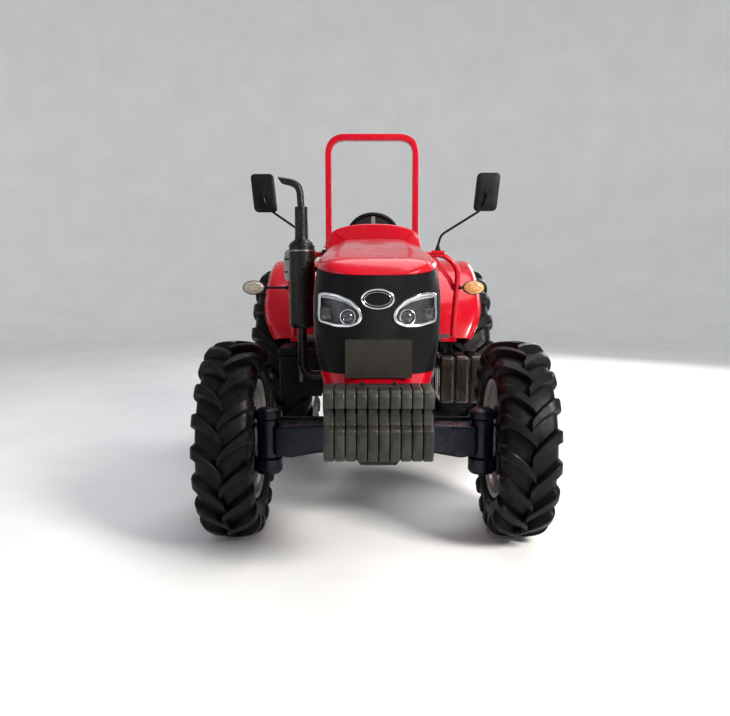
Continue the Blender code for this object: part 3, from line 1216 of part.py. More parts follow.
def lift_arms():
    """The rockshaft with its two lift arms and the pins for the lift rods."""
    half = ARM_X + 0.022
    shaft = rod("lift_arms", (-half, SHAFT_Y, SHAFT_Z), (half, SHAFT_Y, SHAFT_Z),
                ROCKSHAFT_RADIUS, "link_black", 16)
    end_y, end_z = swing(SHAFT_Y, SHAFT_Z, ARM_LENGTH)
    parts = []
    for side in (1, -1):
        path = [(side * ARM_X, SHAFT_Y, SHAFT_Z), (side * ARM_X, end_y, end_z)]
        parts.append(swept("lift_arm_tool", path, rectangle(0.026, 0.052), up=(0, 0, 1)))
        for y, z, r in ((SHAFT_Y, SHAFT_Z, 0.048), (end_y, end_z, 0.030)):
            parts.append(rod("arm_boss_tool", (side * (ARM_X - 0.0145), y, z),
                             (side * (ARM_X + 0.0155), y, z), r, steps=12))
        parts.append(rod("rod_pin_tool", (side * (ARM_X + 0.010), end_y, end_z),
                         (side * (ARM_X + 0.050), end_y, end_z), HITCH_PIN_RADIUS, steps=12))
    fuse(shaft, *parts)
    return pivot(shaft, (0, SHAFT_Y, SHAFT_Z))


def ring(name, x0, x1, y, z, bore, outer, steps=12):
    """An eye whose bore runs across the tractor."""
    low, high = min(x0, x1), max(x0, x1)
    profile = [(0, bore), (0, outer), (high - low, outer), (high - low, bore)]
    return turned(name, profile, (low, y, z), (1, 0, 0), steps=steps, closed=True)


def lower_link(side_name, side):
    """A lower link, from its pin under the rear axle out to its ball end."""
    end_y, end_z = swing(LINK_PIN_Y, LINK_PIN_Z, LINK_LENGTH)
    start = Vector((side * LINK_IN, LINK_PIN_Y, LINK_PIN_Z))
    end = Vector((side * LINK_OUT, end_y, end_z))
    along = (end - start).normalized()
    path = [start + along * 0.024, end - along * 0.026]
    bar = swept(f"lower_link_{side_name}", path, rectangle(0.022, 0.050), "link_black", up=(0, 0, 1))
    eye = ring("link_eye_tool", side * (LINK_IN - 0.016), side * (LINK_IN + 0.016), LINK_PIN_Y,
               LINK_PIN_Z, HITCH_PIN_RADIUS + RUN, 0.034)
    ball = ring("link_ball_tool", side * (LINK_OUT - 0.020), side * (LINK_OUT + 0.020), end_y,
                end_z, 0.0145, LINK_EYE)
    pin_y, pin_z = swing(LINK_PIN_Y, LINK_PIN_Z, ARM_LENGTH)
    x = LINK_IN + (LINK_OUT - LINK_IN) * ARM_LENGTH / LINK_LENGTH
    pin = rod("link_pin_tool", (side * x, pin_y, pin_z), (side * (x + 0.056), pin_y, pin_z),
              HITCH_PIN_RADIUS, steps=12)
    fuse(bar, eye, ball, pin)
    return pivot(bar, start)


def lift_rod(side_name, side):
    """A lift rod between the lift arm's pin and the lower link's pin."""
    top_y, top_z = swing(SHAFT_Y, SHAFT_Z, ARM_LENGTH)
    low_y, low_z = swing(LINK_PIN_Y, LINK_PIN_Z, ARM_LENGTH)
    top_x = ARM_X + 0.030
    x = LINK_IN + (LINK_OUT - LINK_IN) * ARM_LENGTH / LINK_LENGTH
    low_x = x + 0.038
    top = Vector((side * top_x, top_y, top_z))
    low = Vector((side * low_x, low_y, low_z))
    along = (low - top).normalized()
    tube = rod(f"lift_rod_{side_name}", top + along * 0.019, low - along * 0.019, 0.012,
               "link_black", 10)
    eyes = [ring("rod_eye_tool", side * (top_x - 0.0115), side * (top_x + 0.0115), top_y, top_z,
                 HITCH_PIN_RADIUS + RUN, 0.024),
            ring("rod_eye_tool", side * (low_x - 0.0115), side * (low_x + 0.0115), low_y, low_z,
                 HITCH_PIN_RADIUS + 0.0025, 0.024)]
    fuse(tube, *eyes)
    return pivot(tube, top)


# ---- The whole tractor ------------------------------------------------------------------
def build():
    clear_scene()
    wheels()
    front_axle_beam()
    tie_rod()
    front_frame()
    engine()
    radiator()
    gearbox()
    rear_axle_housing()
    drive_shaft()
    front_weights()
    drawbar()
    bonnet()
    grille()
    badge()
    number_plate()
    dash_cowl()
    steering_column()
    steering_wheel()
    muffler()
    air_cleaner()
    fuel_tank()
    battery_box()
    platform()
    rops()
    seat()
    pedals()
    shift_levers()
    hitch_housing()
    lift_arms()
    for side_name, side, lamp_x in (("left", 1, LEFT_LAMP_X), ("right", -1, RIGHT_LAMP_X)):
        knuckle(side_name, side)
        headlamp(side_name, side)
        hand_rail(side_name, side)
        mirror(side_name, side)
        side_lamp(side_name, side, lamp_x)
        fender(side_name, side)
        lower_link(side_name, side)
        lift_rod(side_name, side)


build()
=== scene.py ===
"""Utility tractor: finished pieces and finishes over its mechanical frame.

+Z is up and the tractor faces -Y, so +X is its left side. Sizes in metres.
"""

import bmesh
import bpy
import math
import numpy as np
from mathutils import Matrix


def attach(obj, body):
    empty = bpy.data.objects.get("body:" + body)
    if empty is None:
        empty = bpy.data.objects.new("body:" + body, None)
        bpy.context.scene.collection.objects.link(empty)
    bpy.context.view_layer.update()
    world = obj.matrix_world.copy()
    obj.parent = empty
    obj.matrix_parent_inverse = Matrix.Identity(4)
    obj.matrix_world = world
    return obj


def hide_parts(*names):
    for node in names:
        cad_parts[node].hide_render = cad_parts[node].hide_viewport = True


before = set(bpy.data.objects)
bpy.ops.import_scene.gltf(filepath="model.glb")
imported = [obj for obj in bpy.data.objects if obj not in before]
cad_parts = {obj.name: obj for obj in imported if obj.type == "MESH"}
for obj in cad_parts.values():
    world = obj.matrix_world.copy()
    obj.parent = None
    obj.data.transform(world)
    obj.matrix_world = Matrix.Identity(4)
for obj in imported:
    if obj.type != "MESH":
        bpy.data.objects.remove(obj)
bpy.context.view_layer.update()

TAU = math.tau
SIDES = (("left", 1), ("right", -1))


# ---- Shapes: arrays of points with their faces ------------------------------------------
def skin(points, wrap_rows=False, wrap_columns=False, ends=False):
    """Points (rows, columns, 3), or a stack of such grids, joined by four-sided faces.

    wrap_* joins the last row or column to the first, and ends closes the first and the last
    row with a fan of faces round the row's mean.
    """
    points = np.asarray(points, float)
    if points.ndim == 3:
        points = points[None]
    copies, rows, columns = points.shape[:3]
    index = np.arange(rows * columns).reshape(rows, columns)
    if wrap_rows:
        index = np.vstack([index, index[:1]])
    if wrap_columns:
        index = np.hstack([index, index[:, :1]])
    quads = np.stack([index[:-1, :-1], index[1:, :-1], index[1:, 1:], index[:-1, 1:]], axis=-1)
    offset = np.arange(copies)[:, None, None] * rows * columns
    quads = (quads.reshape(1, -1, 4) + offset).reshape(-1, 4)
    verts = points.reshape(-1, 3)
    fans = np.zeros((0, 3), int)
    if ends:
        middle = points[:, [0, -1]].mean(axis=2)
        first = len(verts) + np.arange(copies * 2).reshape(copies, 2)
        verts = np.vstack([verts, middle.reshape(-1, 3)])
        ring = np.arange(columns)
        after = np.roll(ring, -1)
        low = np.stack([ring, after], axis=-1)[None] + offset
        high = low + (rows - 1) * columns
        fans = np.concatenate([
            np.dstack([low[..., 0], low[..., 1], np.broadcast_to(first[:, :1], low.shape[:2])]),
            np.dstack([high[..., 1], high[..., 0], np.broadcast_to(first[:, 1:], low.shape[:2])]),
        ]).reshape(-1, 3)
    return verts, quads, fans


def together(*shapes):
    """Several shapes as one."""
    counts = np.cumsum([0] + [len(shape[0]) for shape in shapes])
    return (np.vstack([shape[0] for shape in shapes]),
            np.vstack([shape[1] + n for shape, n in zip(shapes, counts)]),
            np.vstack([shape[2] + n for shape, n in zip(shapes, counts)]))


def shifted(shape, by):
    return shape[0] + np.asarray(by, float), shape[1], shape[2]


def flipped(shape):
    """The same shape on the tractor's other side."""
    return shape[0] * (-1, 1, 1), shape[1], shape[2]


def on_side(shape, side):
    return shape if side > 0 else flipped(shape)


def axes_for(axis):
    """Two directions square to an axis and to each other."""
    axis = np.asarray(axis, float) / np.linalg.norm(axis)
    helper = (0, 0, 1) if abs(axis[2]) < 0.9 else (0, 1, 0)
    side = np.cross(helper, axis)
    side /= np.linalg.norm(side)
    return axis, side, np.cross(axis, side)


def lathe(profile, centre, axis, steps=64, closed=False):
    """A profile of (along, radius) points turned about an axis: centre + along * axis +
    radius * (cos t * side + sin t * up)."""
    profile = np.asarray(profile, float)
    axis, side, up = axes_for(axis)
    turn = np.arange(steps) / steps * TAU
    spoke = np.cos(turn)[:, None] * side + np.sin(turn)[:, None] * up
    points = np.asarray(centre) + profile[:, None, :1] * axis + profile[:, None, 1:] * spoke
    return skin(points, wrap_rows=closed, wrap_columns=True)


def around(shape, count, centre, axis, start=0.0):
    """Copies of a shape, evenly turned about an axis through centre."""
    axis, side, up = axes_for(axis)
    local = (shape[0] - centre) @ np.stack([axis, side, up]).T
    turn = (start + np.arange(count) / count * TAU)[:, None]
    a = np.broadcast_to(local[None, :, 0], (count, len(local)))
    s = local[None, :, 1] * np.cos(turn) - local[None, :, 2] * np.sin(turn)
    u = local[None, :, 1] * np.sin(turn) + local[None, :, 2] * np.cos(turn)
    points = np.stack([a, s, u], axis=-1) @ np.stack([axis, side, up]) + centre
    step = (np.arange(count) * len(local))[:, None, None]
    return (points.reshape(-1, 3), (shape[1][None] + step).reshape(-1, 4),
            (shape[2][None] + step).reshape(-1, 3))


def repeated(shape, offsets):
    """Copies of a shape, one at each offset."""
    offsets = np.asarray(offsets, float)
    points = shape[0][None] + offsets[:, None]
    step = (np.arange(len(offsets)) * len(shape[0]))[:, None, None]
    return (points.reshape(-1, 3), (shape[1][None] + step).reshape(-1, 4),
            (shape[2][None] + step).reshape(-1, 3))


def bent(points, bend, steps=8):
    """A path with each corner replaced by a curve that starts and ends a bend's length off."""
    points = np.asarray(points, float)
    t = np.linspace(0, 1, steps + 1)[:, None]
    path = [points[:1]]
    for before, corner, after in zip(points, points[1:], points[2:]):
        to, away = before - corner, after - corner
        reach = min(bend, 0.49 * np.linalg.norm(to), 0.49 * np.linalg.norm(away))
        enter = corner + to / np.linalg.norm(to) * reach
        leave = corner + away / np.linalg.norm(away) * reach
        path.append(enter * (1 - t) ** 2 + corner * 2 * t * (1 - t) + leave * t**2)
    path.append(points[-1:])
    return np.vstack(path)


def tube(path, section, up=(0, 1, 0), scale=None, closed=False, ends=True):
    """A closed section of (sideways, lifted) points carried along a path, square to it."""
    path, section = np.asarray(path, float), np.asarray(section, float)
    if closed:
        along = np.roll(path, -1, axis=0) - np.roll(path, 1, axis=0)
    else:
        step = np.diff(path, axis=0)
        step /= np.linalg.norm(step, axis=1)[:, None]
        along = np.vstack([step[:1], step[:-1] + step[1:], step[-1:]])
    along /= np.linalg.norm(along, axis=1)[:, None]
    side = np.cross(along, np.broadcast_to(np.asarray(up, float), along.shape))
    side /= np.linalg.norm(side, axis=1)[:, None]
    lift = np.cross(side, along)
    size = np.ones(len(path)) if scale is None else np.asarray(scale, float)
    across = section[None, :, :1] * side[:, None] + section[None, :, 1:] * lift[:, None]
    points = path[:, None] + size[:, None, None] * across
    return skin(points, wrap_rows=closed, wrap_columns=True, ends=ends and not closed)


def disc(radius, steps=24, squash=1.0):
    turn = np.arange(steps) / steps * TAU
    return np.stack([radius * np.cos(turn), radius * squash * np.sin(turn)], axis=-1)


def rounded(corners, radius, steps=5):
    """A closed outline whose corners are replaced by curves of about a radius."""
    corners = np.asarray(corners, float)
    radius = np.broadcast_to(np.asarray(radius, float), len(corners))
    t = np.linspace(0, 1, steps + 1)[:, None]
    out = []
    for i, corner in enumerate(corners):
        to = corners[i - 1] - corner
        away = corners[(i + 1) % len(corners)] - corner
        enter = corner + to * min(0.49, radius[i] / np.linalg.norm(to))
        leave = corner + away * min(0.49, radius[i] / np.linalg.norm(away))
        out.append(enter * (1 - t) ** 2 + corner * 2 * t * (1 - t) + leave * t**2)
    return np.vstack(out)


def oblong(low, high, radius, steps=5):
    (a, b), (c, d) = low, high
    return rounded([(a, b), (c, b), (c, d), (a, d)], radius, steps)


def inset(outline, by):
    """An outline moved inwards by a distance, each point along the mean of its sides' normals."""
    before = outline - np.roll(outline, 1, axis=0)
    after = np.roll(outline, -1, axis=0) - outline
    normals = [np.stack([-e[:, 1], e[:, 0]], axis=-1) / np.maximum(
        np.linalg.norm(e, axis=1), 1e-9)[:, None] for e in (before, after)]
    mean = normals[0] + normals[1]
    mean /= np.maximum(np.linalg.norm(mean, axis=1), 1e-9)[:, None]
    area = np.sum(outline[:, 0] * np.roll(outline[:, 1], -1)
                  - outline[:, 1] * np.roll(outline[:, 0], -1))
    return outline + np.sign(area) * by * mean


def set_along(outline, axis, level):
    """Outline points (a, b) at a level of the named axis, as (x, y, z)."""
    level = np.broadcast_to(level, len(outline))
    a, b = outline[:, 0], outline[:, 1]
    order = {"X": (level, a, b), "Y": (a, level, b), "Z": (a, b, level)}[axis]
    return np.stack(order, axis=-1)


def slab(outline, axis, low, high, edge=0.0, steps=3):
    """An outline carried from low to high along an axis, with its two rims rounded: ring k is
    inset by edge * (1 - sin t) at edge * (1 - cos t) from the end."""
    outline = np.asarray(outline, float)
    if edge:
        t = np.linspace(0, math.pi / 2, steps + 1)
        down = edge * (1 - np.cos(t))
        levels = np.concatenate([low + down, (high - down)[::-1]])
        insets = np.concatenate([edge * (1 - np.sin(t)), (edge * (1 - np.sin(t)))[::-1]])
    else:
        levels, insets = np.array([low, high]), np.zeros(2)
    rings = [set_along(inset(outline, i), axis, level) for level, i in zip(levels, insets)]
    return skin(np.stack(rings), wrap_columns=True, ends=True)


def block(low, high, edge, axis="Z", steps=3):
    """A box between two corners with all its edges rounded."""
    low, high = np.asarray(low, float), np.asarray(high, float)
    keep = [i for i, name in enumerate("XYZ") if name != axis]
    at = "XYZ".index(axis)
    return slab(oblong(low[keep], high[keep], edge, steps), axis, low[at], high[at], edge, steps)


def bolt(centre, axis, across, height):
    """A hexagon head on its washer, standing on a face at centre."""
    head = [(0, 0), (0, across * 0.78), (height * 0.22, across * 0.78),
            (height * 0.22, across * 0.56),
            (height * 0.9, across * 0.56), (height, across * 0.46), (height, 0)]
    return lathe(head, centre, axis, steps=6)


def piece(name, body, shapes, finishes, side=1, smooth=38.0, stands_for=(),
          merge=1e-6):
    """Joins shapes into one mesh that rides on a body. shapes is a list of (shape, finish
    number), and finishes the list of materials. side -1 flips them to the right side."""
    whole = together(*[on_side(shape, side) for shape, _ in shapes])
    quads = np.concatenate([np.full(len(shape[1]), k) for shape, k in shapes]).astype(int)
    fans = np.concatenate([np.full(len(shape[2]), k) for shape, k in shapes]).astype(int)
    mesh = bpy.data.meshes.new(name)
    mesh.from_pydata(whole[0].tolist(), [], whole[1].tolist() + whole[2].tolist())
    for material in finishes:
        mesh.materials.append(material)
    mesh.polygons.foreach_set("material_index", np.concatenate([quads, fans]).astype(np.int32))
    tidy_mesh(mesh, merge)
    mesh.shade_smooth()
    mesh.set_sharp_from_angle(angle=math.radians(smooth))
    obj = bpy.data.objects.new(name, mesh)
    bpy.context.collection.objects.link(obj)
    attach(obj, body)
    if stands_for:
        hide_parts(*stands_for)
    return obj


def tidy_mesh(mesh, merge):
    """Merges doubled points, drops faces with no area and turns all faces outwards."""
    bm = bmesh.new()
    bm.from_mesh(mesh)
    bmesh.ops.remove_doubles(bm, verts=bm.verts, dist=merge)
    bmesh.ops.dissolve_degenerate(bm, edges=bm.edges, dist=merge)
    bmesh.ops.recalc_face_normals(bm, faces=bm.faces)
    bm.to_mesh(mesh)
    bm.free()
    mesh.update()


# ---- Finishes ---------------------------------------------------------------------------
def new_finish(name):
    """An empty material with its shader, its links and a way to add nodes."""
    material = bpy.data.materials.new(name)
    material.use_nodes = True
    tree = material.node_tree
    return material, tree, tree.nodes["Principled BSDF"]


def node(tree, kind, inputs=None, **settings):
    made = tree.nodes.new(kind)
    for key, value in settings.items():
        setattr(made, key, value)
    for key, value in (inputs or {}).items():
        if isinstance(value, bpy.types.NodeSocket):
            tree.links.new(value, made.inputs[key])
        else:
            made.inputs[key].default_value = value
    return made


def place(tree, size=(1, 1, 1)):
    """Coordinates on the piece, stretched by a size along each axis."""
    source = node(tree, "ShaderNodeTexCoord").outputs["Object"]
    return node(tree, "ShaderNodeMapping", {"Vector": source, "Scale": size}).outputs[0]


def speckle(tree, where, scale, detail=4.0, rough=0.6, low=0.35, high=0.65):
    """Noise spread over 0 to 1."""
    noise = node(tree, "ShaderNodeTexNoise",
                 {"Vector": where, "Scale": scale, "Detail": detail, "Roughness": rough})
    return spread_over(tree, noise.outputs[0], low=low, high=high)


def spread_over(tree, value, low=0.0, high=1.0, to_low=0.0, to_high=1.0):
    """A value taken from low..high to to_low..to_high, and held at the ends."""
    return node(tree, "ShaderNodeMapRange",
                {"Value": value, "From Min": low, "From Max": high, "To Min": to_low,
                 "To Max": to_high}).outputs[0]


def raise_by(tree, shader, height, distance, strength):
    """Gives the shader a bump of a height map, and returns it."""
    bump = node(tree, "ShaderNodeBump",
                {"Height": height, "Distance": distance, "Strength": strength})
    tree.links.new(bump.outputs[0], shader.inputs["Normal"])
    return bump


def blend_colours(tree, share, first, second):
    mix = node(tree, "ShaderNodeMix", data_type="RGBA")
    for key, value in ((0, share), (6, first), (7, second)):
        if isinstance(value, bpy.types.NodeSocket):
            tree.links.new(value, mix.inputs[key])
        else:
            mix.inputs[key].default_value = value if key == 0 else (*value, 1.0)
    return mix.outputs[2]


def maths(tree, operation, first, second=0.0):
    made = node(tree, "ShaderNodeMath", {0: first, 1: second}, operation=operation)
    return made.outputs[0]


def upward(tree, low=0.2, high=0.95):
    """How far a face looks up, from 0 to 1, where dust settles."""
    normal = node(tree, "ShaderNodeNewGeometry").outputs["Normal"]
    z = node(tree, "ShaderNodeSeparateXYZ", {0: normal}).outputs[2]
    return spread_over(tree, z, low=low, high=high)


def surface_finish(name, colour, other, rough, metallic=0.0, coat=0.0, patch=3.0, grain=300.0,
                   height=0.0002, spread=0.08, dust=0.0, dust_colour=(0.30, 0.26, 0.21),
                   coat_rough=0.06, specular=0.5, ripple=0.0):
    """A finish with cloudy colour, uneven gloss, a fine grain and dust on what looks up."""
    material, tree, shader = new_finish(name)
    where = place(tree)
    cloud = speckle(tree, where, patch, 5.0)
    colours = blend_colours(tree, cloud, colour, other)
    fine = speckle(tree, where, grain, 3.0, 0.55, 0.25, 0.75)
    if dust:
        settled = maths(tree, "MULTIPLY", upward(tree),
                        speckle(tree, where, patch * 2.2, 6.0, 0.65, 0.3, 0.7))
        settled = maths(tree, "MULTIPLY", settled, dust)
        colours = blend_colours(tree, settled, colours, dust_colour)
    tree.links.new(colours, shader.inputs["Base Color"])
    uneven = speckle(tree, where, patch * 4, 4.0)
    gloss = spread_over(tree, uneven, to_low=max(rough - spread, 0.02), to_high=rough + spread)
    tree.links.new(gloss, shader.inputs["Roughness"])
    bump = raise_by(tree, shader, fine, height, 0.6)
    if ripple:
        wave = speckle(tree, where, 45.0, 2.0, 0.4, 0.2, 0.8)
        wider = node(tree, "ShaderNodeBump", {"Height": wave, "Distance": ripple, "Strength": 0.5})
        tree.links.new(wider.outputs[0], bump.inputs["Normal"])
    shader.inputs["Metallic"].default_value = metallic
    shader.inputs["Coat Weight"].default_value = coat
    shader.inputs["Coat Roughness"].default_value = coat_rough
    shader.inputs["Specular IOR Level"].default_value = specular
    return material


def mesh_finish():
    """Woven grille: rows of small openings on the piece's own map, in metres along and up.

    An opening is |sin u| * |sin v| of the turned map above a threshold; wires stay raised. The openings are
    painted near black and matte: painted shade seen through them."""
    material, tree, shader = new_finish("grille_mesh")
    where = node(tree, "ShaderNodeTexCoord").outputs["UV"]
    split = node(tree, "ShaderNodeSeparateXYZ", {0: where})
    pitch = math.pi / 0.0075
    waves = []
    for first, second in ((0.48, 1.0), (0.48, -1.0)):
        a = maths(tree, "MULTIPLY", split.outputs[0], first * pitch)
        b = maths(tree, "MULTIPLY", split.outputs[1], second * pitch)
        waves.append(maths(tree, "ABSOLUTE", maths(tree, "SINE", maths(tree, "ADD", a, b))))
    opening = maths(tree, "MINIMUM", *waves)
    share = spread_over(tree, opening, low=0.30, high=0.48)
    cloud = speckle(tree, place(tree), 9.0)
    wire = blend_colours(tree, cloud, (0.005, 0.005, 0.006), (0.010, 0.010, 0.012))
    # openings painted near black: painted shade seen through the mesh
    tree.links.new(blend_colours(tree, share, wire, (0.0015, 0.0015, 0.0018)),
                   shader.inputs["Base Color"])
    gloss = spread_over(tree, share, to_low=0.20, to_high=0.80)
    tree.links.new(gloss, shader.inputs["Roughness"])
    raised = maths(tree, "SUBTRACT", 1.0, share)
    raise_by(tree, shader, raised, 0.0006, 0.6)
    shader.inputs["Specular IOR Level"].default_value = 0.22
    return material


def rubber_finish():
    """Tyre rubber: near black with greyer patches and uneven gloss, with scattered brown dust
    and fine marks in the surface."""
    material, tree, shader = new_finish("tyre_rubber")
    where = place(tree)
    cloud = speckle(tree, where, 7.0, 6.0, 0.65)
    colours = blend_colours(tree, cloud, (0.0035, 0.0035, 0.0040), (0.009, 0.009, 0.009))
    scuffs = speckle(tree, where, 60.0, 6.0, 0.7, 0.50, 0.72)
    colours = blend_colours(tree, maths(tree, "MULTIPLY", scuffs, 0.25), colours,
                            (0.046, 0.040, 0.032))
    tree.links.new(colours, shader.inputs["Base Color"])
    gloss = spread_over(tree, speckle(tree, where, 22.0), to_low=0.30, to_high=0.56)
    tree.links.new(gloss, shader.inputs["Roughness"])
    fine = speckle(tree, where, 420.0, 2.0, 0.5, 0.25, 0.75)
    raise_by(tree, shader, fine, 0.0004, 0.55)
    shader.inputs["Specular IOR Level"].default_value = 0.20
    return material


def bead_finish(name, between, bead):
    """A lens over a reflector of small beads."""
    material, tree, shader = new_finish(name)
    where = place(tree)
    cells = node(tree, "ShaderNodeTexVoronoi", {"Vector": where, "Scale": 95.0,
                                                "Randomness": 0.25})
    dome = spread_over(tree, cells.outputs[0], high=0.55, to_low=1.0, to_high=0.0)
    tint = blend_colours(tree, dome, between, bead)
    tree.links.new(tint, shader.inputs["Base Color"])
    raise_by(tree, shader, dome, 0.0022, 0.9)
    shader.inputs["Roughness"].default_value = 0.16
    shader.inputs["Coat Weight"].default_value = 0.9
    return material


def glass_finish(name, tint, rough, alpha):
    """Clear moulded cover: mostly see-through, faintly ribbed."""
    material, tree, shader = new_finish(name)
    where = place(tree)
    ribs = node(tree, "ShaderNodeTexWave", {"Vector": where, "Scale": 34.0, "Distortion": 0.4})
    raise_by(tree, shader, ribs.outputs[1], 0.0004, 0.25)
    colours = blend_colours(tree, speckle(tree, where, 14.0), tint, tuple(c * 0.9 for c in tint))
    tree.links.new(colours, shader.inputs["Base Color"])
    shader.inputs["Roughness"].default_value = rough
    shader.inputs["Alpha"].default_value = alpha
    shader.inputs["Coat Weight"].default_value = 1.0
    return material


def tread_plate_finish():
    """Floor mat with rows of raised pads, one every 24 mm, turned by 45 degrees."""
    material, tree, shader = new_finish("floor_mat")
    where = node(tree, "ShaderNodeTexCoord").outputs["Object"]
    turned = node(tree, "ShaderNodeMapping", {"Vector": where, "Rotation": (0, 0, math.pi / 4)})
    split = node(tree, "ShaderNodeSeparateXYZ", {0: turned.outputs[0]})
    waves = [maths(tree, "ABSOLUTE", maths(tree, "SINE",
                                           maths(tree, "MULTIPLY", split.outputs[k],
                                                 math.pi / 0.024)))
             for k in (0, 1)]
    pad = spread_over(tree, maths(tree, "MINIMUM", *waves), low=0.30, high=0.50)
    dirt = speckle(tree, place(tree), 11.0, 6.0, 0.65)
    base = blend_colours(tree, dirt, (0.020, 0.020, 0.020), (0.055, 0.050, 0.044))
    tree.links.new(blend_colours(tree, maths(tree, "MULTIPLY", pad, 0.35), base,
                                 (0.070, 0.068, 0.066)),
                   shader.inputs["Base Color"])
    raise_by(tree, shader, pad, 0.0016, 0.9)
    shader.inputs["Roughness"].default_value = 0.72
    return material


def fin_finish():
    """Radiator core: upright fins 3 mm apart between flat tubes 11 mm apart, with the gaps between them
    painted near black as painted shade inside the core.
    """
    material, tree, shader = new_finish("radiator_fins")
    where = node(tree, "ShaderNodeTexCoord").outputs["Object"]
    split = node(tree, "ShaderNodeSeparateXYZ", {0: where})
    fins = maths(tree, "SINE", maths(tree, "MULTIPLY", split.outputs[2], TAU / 0.003))
    tubes = maths(tree, "SINE", maths(tree, "MULTIPLY", split.outputs[0], TAU / 0.011))
    pattern = maths(tree, "MAXIMUM", fins, tubes)
    share = spread_over(tree, pattern, low=-0.4, high=0.7)
    # gaps near black, fins and tubes lighter: painted shade between them
    tree.links.new(blend_colours(tree, share, (0.008, 0.008, 0.009), (0.060, 0.060, 0.062)),
                   shader.inputs["Base Color"])
    raise_by(tree, shader, share, 0.0012, 0.8)
    shader.inputs["Roughness"].default_value = 0.5
    shader.inputs["Metallic"].default_value = 0.6
    return material


red = surface_finish("red_paint", (0.52, 0.0, 0.015), (0.42, 0.0, 0.013), 0.26, coat=0.35,
                     patch=2.0, grain=700.0, height=0.00003, spread=0.06, dust=0.03, ripple=0.0002,
                     specular=0.30)
black = surface_finish("black_paint", (0.004, 0.004, 0.005), (0.009, 0.009, 0.010), 0.30, coat=0.3,
                       patch=5.0, grain=500.0, height=0.00008, dust=0.03, specular=0.20)
iron = surface_finish("cast_weights", (0.024, 0.025, 0.022), (0.056, 0.055, 0.048), 0.46, 0.40,
                      patch=12.0, grain=210.0, height=0.0011, spread=0.14, dust=0.14,
                      ripple=0.0012)
navy = surface_finish("navy_castings", (0.003, 0.006, 0.016), (0.006, 0.012, 0.028), 0.34, 0.2,
                      patch=6.0, grain=260.0, height=0.0006, dust=0.08, spread=0.12)
dark = surface_finish("engine_castings", (0.006, 0.006, 0.007), (0.018, 0.017, 0.016), 0.46, 0.3,
                      patch=8.0, grain=240.0, height=0.0006, dust=0.12, spread=0.12)
steel = surface_finish("worn_steel", (0.30, 0.30, 0.31), (0.20, 0.19, 0.18), 0.34, 1.0, patch=30.0,
                       grain=380.0, height=0.0002)
chrome = surface_finish("chrome", (0.80, 0.81, 0.83), (0.70, 0.71, 0.74), 0.09, 1.0, patch=18.0,
                        grain=500.0, height=0.00002, spread=0.04)
rim_paint = surface_finish("rim_silver", (0.50, 0.49, 0.47), (0.38, 0.37, 0.35), 0.38, 0.45,
                           patch=6.0,
                           grain=320.0, height=0.0003, dust=0.2, spread=0.12)
plate_paint = surface_finish("plate_grey", (0.030, 0.027, 0.023), (0.040, 0.036, 0.031), 0.55, 0.0,
                             patch=9.0, grain=900.0, height=0.00006, spread=0.1, specular=0.25)
moulded = surface_finish("moulded_black", (0.006, 0.006, 0.007), (0.012, 0.012, 0.013), 0.44,
                         patch=10.0, grain=820.0, height=0.00035, dust=0.03, specular=0.20)
brown = surface_finish("tank_plastic", (0.018, 0.014, 0.010), (0.030, 0.024, 0.018), 0.30,
                       coat=0.3,
                       patch=6.0, grain=420.0, height=0.0003, dust=0.12)
canister = surface_finish("canister_grey", (0.25, 0.26, 0.24), (0.34, 0.34, 0.31), 0.48, patch=8.0,
                          grain=500.0, height=0.0003, dust=0.2)
heat_black = surface_finish("heat_black", (0.006, 0.006, 0.006), (0.018, 0.016, 0.014), 0.36, 0.3,
                            patch=16.0, grain=350.0, height=0.0004, spread=0.14)
rust = surface_finish("pipe_mouth", (0.10, 0.050, 0.028), (0.030, 0.020, 0.016), 0.7, 0.3,
                      patch=40.0,
                      grain=300.0, height=0.0006)
vinyl = surface_finish("seat_vinyl", (0.009, 0.009, 0.010), (0.017, 0.017, 0.018), 0.42, patch=9.0,
                       grain=520.0, height=0.0006, dust=0.08)
mirror_glass = surface_finish("mirror_glass", (0.62, 0.64, 0.66), (0.55, 0.57, 0.60), 0.05, 1.0,
                              patch=6.0,
                              grain=300.0, height=0.00001, spread=0.02)
lens_dark = surface_finish("projector_glass", (0.030, 0.034, 0.040), (0.055, 0.060, 0.066), 0.06,
                           0.2, coat=1.0,
                           patch=26.0, grain=500.0, height=0.00002, spread=0.03)
lamp_shell = surface_finish("lamp_shell", (0.016, 0.017, 0.019), (0.036, 0.038, 0.042), 0.22, 0.5,
                            coat=0.5,
                            patch=22.0, grain=400.0, height=0.0001)
rubber = rubber_finish()
mesh_black = mesh_finish()
amber = bead_finish("amber_beads", (0.50, 0.24, 0.07), (0.80, 0.60, 0.36))
# painted shade: a greyer, darker copy of the amber bead lens for the right side lamp, which stood in shade
beads_painted_shade = bead_finish("beads_painted_shade", (0.26, 0.23, 0.18), (0.62, 0.60, 0.54))
clear = glass_finish("lamp_cover", (0.30, 0.31, 0.32), 0.05, 0.06)
red_lens = surface_finish("tail_lens", (0.45, 0.008, 0.010), (0.32, 0.004, 0.006), 0.18, coat=0.9,
                          patch=30.0,
                          grain=90.0, height=0.0010)
